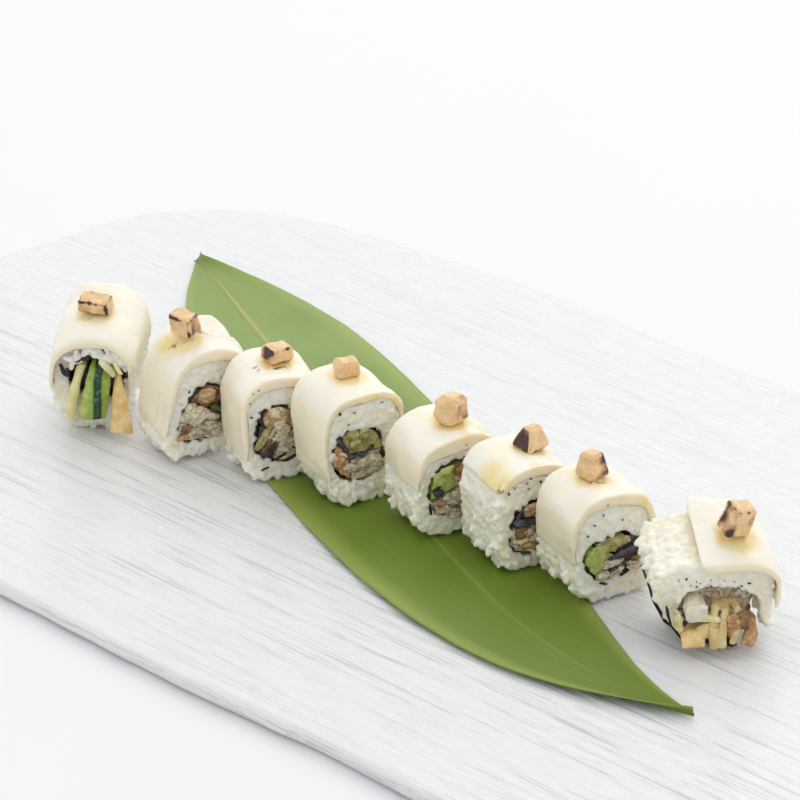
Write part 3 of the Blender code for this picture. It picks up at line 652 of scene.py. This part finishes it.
# The look that all these foods share: two tones in patches, flecks, and dark seams
food_look = Nodes(bpy.data.node_groups.new("moist_food", "ShaderNodeTree"))
for way, kind, labels in (("INPUT", "Color", ("Light", "Dark", "Fleck")),
                          ("INPUT", "Float", ("Patches", "Dots", "Strength", "Seams")),
                          ("OUTPUT", "Color", ("Colour",)), ("OUTPUT", "Float", ("Spots",))):
    for label in labels:
        food_look.tree.interface.new_socket(label, in_out=way, socket_type="NodeSocket" + kind)
given = food_look.node("NodeGroupInput").outputs
clouds = food_look.grain(food_look.place(), given["Patches"], 3.0, 0.6)
small = food_look.grain(food_look.place(), given["Dots"], 3.0, 0.65)
blend = food_look.mix(food_look.step(clouds, 0.40, 0.60), given["Light"], given["Dark"])
flecks = food_look.step(small, 0.56, 0.68, 0.0, given["Strength"])
blend = food_look.mix(flecks, blend, given["Fleck"])
sheets = food_look.grain(food_look.place((0.6, 0.6, 1.0)), 0.34, 1.0)
seam = food_look.times(food_look.step(sheets, 0.44, 0.495), food_look.step(sheets, 0.56, 0.50))
blend = food_look.mix(food_look.times(seam, given["Seams"]), blend, tone(58, 44, 34))
shown = food_look.node("NodeGroupOutput").inputs
food_look.join(blend, shown["Colour"])
food_look.join(small, shown["Spots"])


def food(name, rough, *tones, patches=0.5, dots=1.3, depth=0.3, strength=0.5, seams=0.0):
    """Moist food: light and dark in soft patches, flecked, with dark seams between flakes."""
    made = Finish(name, rough, Subsurface_Weight=0.1, Subsurface_Scale=0.0012)
    look = made.node("ShaderNodeGroup", node_tree=food_look.tree)
    for label, colour in zip(("Light", "Dark", "Fleck"), tones):
        look.inputs[label].default_value = tone(*colour)
    values = {"Patches": patches, "Dots": dots, "Strength": strength, "Seams": seams}
    for label, value in values.items():
        look.inputs[label].default_value = value
    made.base = look.outputs["Colour"]
    made.colour(made.base)
    spots = look.outputs["Spots"]
    made.join(made.step(spots, 0.3, 0.8, rough - 0.1, rough + 0.15), made.shader.inputs["Roughness"])
    made.relief(spots, depth)
    return made


FOODS = {
    "eel": food("flaked_eel", 0.42, (232, 221, 196), (186, 170, 144), (98, 82, 66),
                patches=0.8, dots=1.1, depth=0.35, strength=0.45, seams=0.5),
    "pale": food("pale_flakes", 0.38, (242, 232, 208), (218, 202, 168), (160, 130, 96),
                 patches=0.7, dots=1.5, seams=0.4),
    "tan": food("tan_crumbs", 0.42, (214, 184, 140), (184, 146, 106), (120, 86, 58),
                patches=0.6, dots=1.4, depth=0.35, seams=0.4),
    "brown": food("grilled_brown", 0.4, (168, 132, 84), (124, 94, 58), (66, 46, 30),
                  depth=0.35, seams=0.55),
    "green": food("soft_greens", 0.4, (104, 104, 58), (70, 72, 40), (34, 34, 22), dots=1.2),
    "egg": food("pale_egg", 0.42, (222, 200, 160), (196, 168, 126), (126, 98, 68),
                patches=0.6, seams=0.4),
    "crisp": food("fried_batter", 0.34, (220, 182, 130), (184, 130, 82), (92, 54, 34),
                  dots=1.2, depth=0.4, seams=0.4),
    "fry": food("fried_strip", 0.32, (244, 216, 152), (228, 190, 122), (180, 124, 66),
                patches=0.2, dots=0.9, depth=0.25, strength=0.3),
    "cream": food("creamy_strip", 0.34, (238, 230, 176), (226, 214, 150), (196, 180, 110),
                  patches=0.3, dots=1.0, depth=0.12, strength=0.2),
    "cucumber": food("cucumber_flesh", 0.26, (184, 194, 110), (158, 170, 84), (208, 214, 150),
                     patches=0.3, dots=0.9, depth=0.12, strength=0.4),
    "stem": food("green_stems", 0.32, (192, 182, 122), (148, 138, 82), (92, 84, 46),
                 dots=1.1, depth=0.2, strength=0.4),
    "skin": food("dark_skin", 0.22, (84, 78, 88), (46, 42, 48), (140, 130, 124),
                 dots=1.4, depth=0.15, strength=0.3),
    "shred": food("pale_shred", 0.3, (238, 238, 200), (222, 222, 170), (200, 202, 146),
                  patches=0.3, dots=1.0, depth=0.1, strength=0.2),
    "white": food("white_fish_block", 0.34, (244, 238, 224), (232, 222, 198), (206, 190, 158),
                  patches=0.3, dots=1.0, depth=0.12, strength=0.25),
    "strips": food("pickled_strips", 0.28, (226, 206, 152), (206, 180, 116), (164, 130, 76),
                   patches=0.25, dots=0.8, depth=0.15, strength=0.3),
}

# The stick of cucumber in the first slice keeps a stripe of its dark green peel
PEEL_AT = 2.9
peel = FOODS["cucumber"]
# Painted highlight: pale glints on the dark peel
glint = peel.step(peel.grain(peel.place(), 1.1, 2.0), 0.6, 0.66, 0.0, 0.5)
rind = peel.mix(glint, tone(30, 62, 26), tone(150, 172, 150))
skinned = peel.mix(peel.step(peel.mark("near_peel"), 0.0, 1.0, 0.0, 0.8), peel.base, tone(128, 176, 52))
peel.colour(peel.mix(peel.mark("peel"), skinned, rind))

# How high a flaky food's lumps are, in mm, and how many come to the metre; the rest are
# nearly smooth
FLAKY = {"eel": (0.9, 230), "brown": (0.8, 190), "green": (0.7, 230), "egg": (0.6, 210),
         "crisp": (0.9, 260)}
SMOOTH = (0.3, 170)
for node in sorted(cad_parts):
    kind, _, number = node.partition("_")
    if kind not in FOODS or node == "strips_8":
        continue
    piece = melt(cad_copy(node), FOOD_CELL)
    soften(piece, 1 if kind == "white" else 3)
    high, pitch = FLAKY.get(kind, SMOOTH)
    if kind == "cucumber":
        stripe = piece.verts.layers.float.new("peel")
        beside = piece.verts.layers.float.new("near_peel")
    for v in piece.verts:
        lump = noise.noise(v.co * pitch) * high + noise.noise(v.co * pitch * 2.6) * high * 0.45
        if node == "cucumber_1":
            across = local(1, v.co)[0] - PEEL_AT - 0.3 * noise.noise(v.co * 200)
            v[stripe] = 1.0 - ease((abs(across) - 1.15) / 0.4)
            v[beside] = 1.0 - ease((abs(across) - 1.2) / 2.6)
        v.co += v.normal * (lump - 0.1) * MM
    lay_out(piece, f"{kind}_piece_{number}", FOODS[kind].mat, kind, node)

# What shows on the cut faces: kind, across, up, length, width, turn in degrees, and how
# far from the front face it lies, where that isn't right at it
CUT_BITS = {
    1: (("rice", 6.2, 30.0, 7.6, 5.6, -20), ("rice", -0.6, 31.2, 6.4, 4.6, 16),
        ("rice", -6.0, 27.6, 4.6, 4.0, 30), ("rice", 10.8, 27.4, 4.6, 4.4, -30),
        ("shred", 5.2, 25.4, 7.4, 2.2, -48), ("nori", -9.0, 23.0, 1.5, 4.6, 24),
        ("nori", -7.4, 22.0, 1.1, 3.4, -12), ("nori", 12.0, 24.2, 1.4, 3.8, -18),
        ("nori", -3.2, 27.6, 5.6, 1.2, 30), ("eel", -3.2, 16.0, 8.4, 8.0, 20, -22.0),
        ("pale", 6.0, 15.6, 8.0, 7.6, -20, -22.4), ("cream", 1.4, 12.6, 8.0, 4.4, 0, -22.6),
        ("pale", 2.0, 28.2, 10.0, 4.6, 0, -22.0)),
    2: (("tan", -1.9, 20.7, 6.0, 4.8, 0), ("pale", -1.1, 21.4, 3.4, 1.8, 24),
        ("pale", -3.9, 13.9, 7.5, 6.2, 20), ("brown", -6.1, 9.9, 4.7, 2.4, 60),
        ("crisp", -7.0, 7.8, 3.7, 1.7, 20), ("green", 2.3, 16.2, 4.4, 1.6, -10),
        ("eel", 1.2, 13.1, 6.4, 2.4, -8), ("eel", 2.8, 8.6, 7.5, 6.0, -20),
        ("pale", -6.2, 16.9, 4.0, 2.7, 50), ("nori", 5.0, 19.8, 0.8, 4.4, 0),
        ("nori", 3.8, 17.4, 3.0, 0.9, -20), ("nori", 2.4, 6.6, 4.2, 0.6, 30)),
    3: (("pale", -2.1, 22.8, 5.7, 3.6, 0), ("tan", -0.3, 21.1, 5.0, 4.3, 20),
        ("tan", -4.3, 22.4, 3.6, 2.9, 30), ("stem", -7.4, 14.9, 9.0, 2.1, 58),
        ("brown", -5.6, 13.7, 9.0, 1.7, 56), ("eel", -4.0, 15.4, 6.4, 3.3, 40),
        ("eel", -1.5, 16.4, 5.7, 6.4, 0), ("pale", -1.4, 19.0, 4.3, 2.9, 0),
        ("nori", -7.4, 20.0, 1.0, 3.6, 20), ("nori", -8.6, 11.0, 2.0, 1.2, 40),
        ("nori", 2.8, 10.0, 3.2, 0.7, -40), ("nori", -2.0, 7.6, 5.6, 0.6, 28),
        ("nori", -6.0, 4.2, 3.0, 0.7, 24)),
    4: (("stem", -3.6, 24.0, 3.9, 3.6, 0), ("stem", 0.0, 23.6, 3.8, 3.5, 0),
        ("stem", 2.9, 21.1, 3.5, 3.3, 0), ("stem", -2.4, 20.6, 4.4, 4.1, 0),
        ("skin", -6.7, 20.4, 6.8, 2.0, -55), ("skin", -3.2, 16.6, 7.6, 1.4, -12),
        ("skin", 1.6, 17.4, 5.3, 1.2, 35), ("crisp", -8.2, 15.8, 4.2, 4.6, 20),
        ("pale", -7.0, 17.6, 3.8, 1.8, -30), ("eel", -4.6, 12.3, 7.3, 3.0, -8),
        ("pale", -4.6, 13.2, 3.8, 1.7, -20), ("pale", 1.0, 13.8, 6.8, 2.9, 12),
        ("tan", -1.0, 12.0, 6.1, 1.8, 0), ("eel", 4.4, 12.0, 4.2, 6.4, 0),
        ("nori", 5.2, 22.0, 0.7, 4.0, 10), ("nori", -8.0, 22.4, 3.0, 0.8, 40),
        ("nori", 6.4, 15.5, 0.6, 3.0, 15)),
    5: (("cucumber", -6.0, 20.3, 6.3, 4.8, 15), ("cucumber", -4.8, 22.8, 5.3, 2.7, 20),
        ("brown", 0.6, 21.6, 6.6, 4.5, 10), ("tan", -0.4, 18.9, 4.5, 4.5, 0),
        ("eel", -1.5, 13.0, 9.0, 3.8, 12), ("pale", 0.2, 13.3, 5.3, 1.7, 10),
        ("pale", -2.4, 11.8, 4.5, 1.4, -30), ("crisp", -6.5, 11.5, 1.5, 2.7, 0),
        ("skin", -7.0, 15.3, 3.5, 2.6, 0), ("eel", -2.9, 8.4, 7.5, 2.6, -20),
        ("pale", -5.3, 9.5, 4.5, 1.7, 30), ("eel", -0.8, 6.8, 5.3, 2.1, 20),
        ("nori", 4.4, 19.4, 4.6, 0.8, 58), ("nori", -7.6, 17.0, 4.4, 0.8, 30),
        ("nori", -4.2, 24.6, 5.0, 0.6, 14), ("nori", -9.2, 10.0, 0.8, 4.2, 8)),
    6: (("tan", -2.1, 18.4, 6.8, 4.2, 0), ("brown", 1.1, 16.4, 3.0, 3.8, 0),
        ("skin", -3.8, 15.5, 10.6, 2.4, -6), ("brown", -6.6, 12.6, 4.4, 3.8, 30),
        ("pale", -4.6, 11.9, 4.2, 2.7, 0), ("pale", -1.5, 9.6, 4.7, 3.8, 20),
        ("tan", 0.9, 10.9, 3.0, 3.0, 0), ("crisp", -3.6, 8.1, 5.3, 1.7, -8),
        ("fry", -5.8, 10.0, 3.8, 1.8, 10), ("eel", 1.7, 7.2, 3.0, 3.0, 0),
        ("nori", -6.6, 14.4, 3.2, 0.7, 24), ("nori", 0.6, 4.6, 5.0, 0.6, 10)),
    7: (("stem", -0.1, 17.4, 10.5, 3.3, 12), ("cucumber", -6.2, 14.2, 7.2, 5.4, 42),
        ("cucumber", -6.6, 11.4, 4.5, 3.5, 40), ("pale", -1.7, 11.0, 9.0, 2.6, 8),
        ("skin", 3.5, 14.1, 11.6, 2.3, 18), ("skin", -1.3, 9.2, 4.5, 1.1, 30),
        ("brown", 6.6, 11.6, 3.5, 1.7, 10), ("pale", 5.7, 9.4, 4.7, 3.4, 0),
        ("eel", -1.5, 8.0, 8.0, 2.4, 16), ("pale", -5.0, 8.2, 4.6, 2.2, 0),
        ("nori", -5.0, 5.4, 3.2, 0.7, -20), ("nori", 3.0, 7.0, 3.8, 0.6, 24),
        ("nori", 8.8, 17.8, 3.0, 0.7, 30)),
    8: (("nori", -14.4, 13.0, 0.8, 7.4, 14), ("cream", -12.0, 11.0, 2.4, 7.4, 12),
        ("cream", -2.6, 12.0, 6.4, 2.0, -14), ("fry", -4.0, 7.4, 7.6, 5.0, 20),
        ("crisp", 3.4, 9.0, 4.4, 7.6, 0), ("brown", 6.4, 11.0, 4.0, 6.0, 10),
        ("white", -6.2, 13.8, 6.6, 5.0, 6), ("eel", -9.0, 14.0, 9.0, 9.0, 0, -6.0),
        ("eel", -1.0, 16.5, 12.0, 8.0, 0, -6.0), ("eel", 7.0, 14.0, 9.0, 10.0, 0, -6.0),
        ("eel", -4.0, 9.0, 10.0, 8.0, 0, -6.0), ("eel", 4.0, 8.5, 9.0, 8.0, 0, -6.0),
        ("tan", -5.0, 7.0, 9.0, 9.0, 10, -20.6), ("pale", 6.0, 7.6, 9.6, 9.0, -10, -20.8),
        ("eel", 0.6, 14.6, 12.0, 7.6, 0, -20.4)),
}

# How far they stand out from the face: most kinds, some kinds, and the slices whose
# filling hangs out
BIT_OUT = 0.5
KIND_OUT = {"nori": 0.75, "shred": 1.2, "crisp": 0.9}
SLICE_OUT = {1: 1.6, 8: 3.4}
for n, rows in CUT_BITS.items():
    rng = random.Random(60 + n)
    front = SLICES[n]["deep"] / 2
    heaps = {}
    # The filling runs through, so most of it shows at the back face as well
    behind = [row + (0.4 - 2 * front,) for row in rows if n not in (1, 8) and row[0] != "nori"]
    for kind, a, z, size_long, size_wide, turn, *back in list(rows) + behind:
        heap = heaps.setdefault(kind, bmesh.new())
        t = math.radians(turn)
        here = front + KIND_OUT.get(kind, BIT_OUT) + rng.uniform(-0.25, 0.25)
        here += back[0] if back else SLICE_OUT.get(n, 0.0)
        heart = spot(n, a, here, z)
        lie = (spot(n, a + math.cos(t), here, z + math.sin(t)) - heart).normalized()
        second = forward(n).cross(lie).normalized()
        if kind == "rice":
            for _ in range(int(size_long * size_wide * 0.5)):
                way = lie + second * rng.uniform(-1.5, 1.5) + forward(n) * rng.uniform(-0.6, 0.6)
                way.normalize()
                by = lie * rng.uniform(-0.42, 0.42) * size_long
                by = by + second * rng.uniform(-0.42, 0.42) * size_wide
                egg(heap, heart + (by + forward(n) * rng.uniform(-1.0, 0.4)) * MM, way,
                    way.orthogonal().normalized(), 1.7, 0.95, 0.88)
            continue
        fine_cut = kind == "nori"
        thick = (0.5 if fine_cut else rng.uniform(1.1, 1.5)) / max(size_wide * 0.5, 0.3)
        bits = bmesh.ops.create_icosphere(heap, subdivisions=3, radius=1.0)["verts"]
        third = lie.cross(second)
        seed = rng.uniform(0, 50)
        squareness = 0.45 if kind == "white" else 0.8
        for v in bits:
            # A superellipsoid stands for a torn or cut piece; its fibres run along it
            u, w, h = (math.copysign(abs(c) ** squareness, c) for c in v.co)
            fibre = noise.noise((u * size_long * 0.22 + seed, w * size_wide * 0.95, h))
            ragged = noise.noise((w * size_wide * 1.2, seed, h * 2.0)) * (0.25 if fine_cut else 0.6)
            run_out = lie * (u * size_long / 2 + ragged * abs(u) ** 3)
            raised = third * (h * thick * size_wide / 2 + fibre * (0.2 if fine_cut else 0.9))
            v.co = heart + (run_out + second * w * size_wide / 2 + raised) * MM
    for kind, heap in heaps.items():
        heap.normal_update()
        if kind == "rice":
            heap = melt(heap, 0.3)
            soften(heap, 2)
        lumpy = {"nori": 0.6, "rice": 0.1}.get(kind, 1.0)
        for v in heap.verts:
            lump = noise.noise(v.co * 420 + Vector((n, 0, 0))) * 0.42
            lump += noise.noise(v.co * 1100) * 0.2
            v.co += v.normal * lump * lumpy * MM
        finish = {"nori": nori, "rice": rice}.get(kind) or FOODS[kind]
        slot_name = {"pale": "eel", "tan": "egg"}.get(kind, kind)
        lay_out(heap, f"cut_{kind}_{n}", finish.mat, slot_name)

# The last slice's strips part as they hang out: across, forward and up along each
STRANDS = (
    ((0.2, -9.0, 13.0), (0.2, 8.0, 13.6), (-0.4, 12.4, 14.4), (-2.6, 15.6, 9.4), (-4.6, 17.6, 1.6)),
    ((2.8, -9.0, 13.0), (2.8, 8.0, 13.4), (2.4, 13.0, 13.6), (0.4, 16.0, 9.0), (-2.0, 17.8, 2.4)),
    ((5.2, -9.0, 13.0), (5.2, 8.0, 13.6), (5.8, 12.4, 13.8), (5.4, 14.8, 10.4), (1.4, 17.2, 3.4)),
)
STRAND_HALF = 0.85
STRAND_STEP = 0.7
bundle = bmesh.new()
for path in STRANDS:
    for p, q in zip(path, path[1:]):
        steps = max(2, int(math.dist(p, q) / STRAND_STEP))
        # A strand is wider across than it is thick
        across = spot(8, p[0] + 1.0, p[1], p[2]) - spot(8, *p)
        for k in range(steps):
            heart = spot(8, *(u + (w - u) * k / steps for u, w in zip(p, q)))
            for v in bmesh.ops.create_icosphere(bundle, subdivisions=2, radius=1.0)["verts"]:
                wider = across * v.co.dot(across.normalized()) * 0.5
                v.co = heart + v.co * STRAND_HALF * MM + wider
bundle = melt(bundle, 0.34)
soften(bundle, 2)
for v in bundle.verts:
    v.co += v.normal * noise.noise(v.co * 260) * 0.25 * MM
lay_out(bundle, "pickled_strips_8", FOODS["strips"].mat, "strips", "strips_8")


# The seared cubes
# Small dice of cooked fish liver or root, browned with the torch: tan, moist and dark
# along the edges that the flame has caught. One sits on each slice in a drop of juice.
CUBE_CELL = 0.27
CUBE_SUNK = 0.35

cube = Finish("seared_cube", 0.3, Subsurface_Weight=0.12, Subsurface_Scale=0.0015,
              Specular_IOR_Level=0.55)
cells = cube.grain(cube.place(), 0.28, 3.0)
pores = cube.grain(cube.place(), 1.0, 3.0, 0.6)
meat = cube.mix(cube.step(cells, 0.35, 0.65), tone(242, 208, 156), tone(230, 190, 136))
meat = cube.mix(cube.step(pores, 0.5, 0.7, 0.0, 0.45), meat, tone(204, 156, 110))
burn = cube.times(cube.mark("burn"), cube.step(cells, 0.30, 0.52, 0.35, 1.0))
meat = cube.mix(cube.step(burn, 0.1, 0.5, 0.0, 0.7), meat, tone(168, 112, 84))
cube.colour(cube.mix(cube.step(burn, 0.42, 0.68), meat, tone(70, 42, 36)))
cube.join(cube.step(burn, 0.0, 0.8, 0.26, 0.5), cube.shader.inputs["Roughness"])
cube.relief(pores, 0.15)

# Turn and tilts of each cube in degrees, the way its darker side faces (right, ahead and
# up, as one sees the row from the front), and how burnt its edges and that side are
CUBES = {
    1: ((-12, 16, 0), (0.2, 0.6, -0.5), 1.0, 0.35), 2: ((26, 6, -16), (0.9, 0.1, 0.3), 0.8, 0.45),
    3: ((14, 3, 0), (-0.5, 0.8, 0.3), 0.8, 0.8), 4: ((-2, 3, 0), (0, -1, 0), 0.15, 0.1),
    5: ((28, 2, 3), (0.9, 0.1, 0.1), 0.5, 0.5), 6: ((20, 2, 3), (-0.9, 0.3, 0.2), 0.9, 0.95),
    7: ((18, 3, -2), (0.95, 0.0, 0.1), 0.7, 0.8), 8: ((24, 15, 12), (-0.3, 0.9, 0.1), 1.0, 0.75),
}
TO_RIGHT = Vector((0.72, 0.69, 0))
TO_FRONT = Vector((0.69, -0.72, 0))
for n, ((turn, tip, roll), (right, ahead, up), edges, flank) in CUBES.items():
    whole = cad_copy(f"cube_{n}")
    heart = sum((v.co for v in whole.verts), Vector()) / len(whole.verts)
    turned = Euler([math.radians(angle) for angle in (tip, roll, turn + SLICES[n]["turn"])])
    back = turned.to_matrix().inverted()
    size = [max(abs((back @ (v.co - heart))[i]) for v in whole.verts) for i in range(3)]
    way = (TO_RIGHT * right + TO_FRONT * ahead + Vector((0, 0, up))).normalized()
    dice = melt(whole, CUBE_CELL)
    soften(dice, 3)
    burn_mark = dice.verts.layers.float.new("burn")
    for v in dice.verts:
        # How far the nearest edge is: the second least of the ways out of the cube
        _, gap, _ = sorted((h - abs(c)) / MM for c, h in zip(back @ (v.co - heart), size))
        blot = min(1.0, max(0.0, 0.5 + 0.9 * noise.noise(v.co * 240 + Vector((0, n, 0)))))
        gap += 0.7 * noise.noise(v.co * 620)
        corner = (1.0 - ease((gap - 0.25) / 1.1)) * edges
        shaded = ease((v.normal.dot(way) - 0.45) / 0.4) * flank
        v[burn_mark] = min(1.0, max(corner * (0.3 + 1.4 * blot), shaded * (0.2 + 1.2 * blot)))
    for v in dice.verts:
        v.co += v.normal * (noise.noise(v.co * 260) * 0.45 + noise.noise(v.co * 800) * 0.12) * MM
        v.co.z -= CUBE_SUNK * MM
    lay_out(dice, f"cube_dice_{n}", cube.mat, "cube", f"cube_{n}")


# The pepper
# Coarse black pepper and burnt scraps, blown on with the torch: small thin flakes that
# stick to the fish and the rice round the cut faces. So many are thrown at each slice.
PEPPER = {1: 3, 2: 10, 3: 14, 4: 12, 5: 8, 6: 18, 7: 12, 8: 16}
FLECK_OUT = 0.45
flecks = bmesh.new()
for n, count in PEPPER.items():
    rng = random.Random(900 + n)
    tree = skin_of(f"rice_{n}", f"fish_{n}")
    item = SLICES[n]
    for _ in range(count):
        a, z = rng.uniform(-12, 12), rng.uniform(18, item["high"] - 3)
        start = spot(n, a, item["deep"] / 2 + 9, z)
        hit, out, _, _ = tree.ray_cast(start, -forward(n), 0.014)
        if hit is None:
            continue
        lie = out.orthogonal().normalized()
        lie = (lie + out.cross(lie) * rng.uniform(-2, 2)).normalized()
        second = out.cross(lie)
        size = rng.uniform(0.22, 0.5)
        for v in bmesh.ops.create_icosphere(flecks, subdivisions=1, radius=1.0)["verts"]:
            u, w, h = v.co * rng.uniform(0.8, 1.1)
            shape = (lie * u * 1.5 + second * w * 0.8 + out * h * 0.5) * size * MM
            v.co = hit + out * FLECK_OUT * MM + shape
lay_out(flecks, "pepper_flecks", nori.mat, "nori")


# The floor, the light and the camera
# A plain white table top under a big soft light from behind and above.
floor_bm = bmesh.new()
bmesh.ops.create_grid(floor_bm, x_segments=1, y_segments=1, size=6.0)
for v in floor_bm.verts:
    v.co.z = -0.0002
floor_mesh = bpy.data.meshes.new("floor")
floor_bm.to_mesh(floor_mesh)
floor_bm.free()
floor = bpy.data.objects.new("floor", floor_mesh)
bpy.context.scene.collection.objects.link(floor)
table = Finish("white_table", 0.6)
clouds = table.grain(table.place(), 0.01, 1.0)
table.colour(table.mix(clouds, tone(235, 235, 237), tone(237, 237, 238)))
floor_mesh.materials.append(table.mat)

world = bpy.data.worlds.new("studio")
bpy.context.scene.world = world
world.use_nodes = True
sky = world.node_tree
ray = sky.nodes.new("ShaderNodeTexCoord")
towards = sky.nodes.new("ShaderNodeVectorMath")
towards.operation = "DOT_PRODUCT"
towards.inputs[1].default_value = (-0.35, 0.55, 0.76)
sky.links.new(ray.outputs["Generated"], towards.inputs[0])
glow = sky.nodes.new("ShaderNodeMapRange")
for key, number in (("From Min", -0.4), ("From Max", 1.0), ("To Min", 0.71), ("To Max", 1.19)):
    glow.inputs[key].default_value = number
sky.links.new(towards.outputs["Value"], glow.inputs["Value"])
sky.nodes["Background"].inputs["Color"].default_value = (0.98, 0.99, 1.0, 1.0)
sky.links.new(glow.outputs["Result"], sky.nodes["Background"].inputs["Strength"])
lamp = bpy.data.lights.new("window", "AREA")
lamp.shape = "SQUARE"
lamp.size = 1.0
lamp.energy = 5.0
lamp.color = (1.0, 0.99, 0.97)
window = bpy.data.objects.new("window", lamp)
window.location = (-0.6, 1.2, 1.3)
window.rotation_euler = (-window.location).to_track_quat("-Z", "Y").to_euler()
bpy.context.scene.collection.objects.link(window)

lens = bpy.data.cameras.new("camera")
lens.lens = 198.0
lens.sensor_width = 36.0
lens.clip_start = 0.01
lens.clip_end = 20.0
aim = Vector((-0.065, 0.046, 0.0))
eye = bpy.data.objects.new("camera", lens)
eye.location = (0.821, -0.871, 0.622)
eye.rotation_euler = (aim - eye.location).to_track_quat("-Z", "Y").to_euler()
bpy.context.scene.collection.objects.link(eye)
bpy.context.scene.camera = eye
bpy.context.scene.view_settings.view_transform = "Standard"
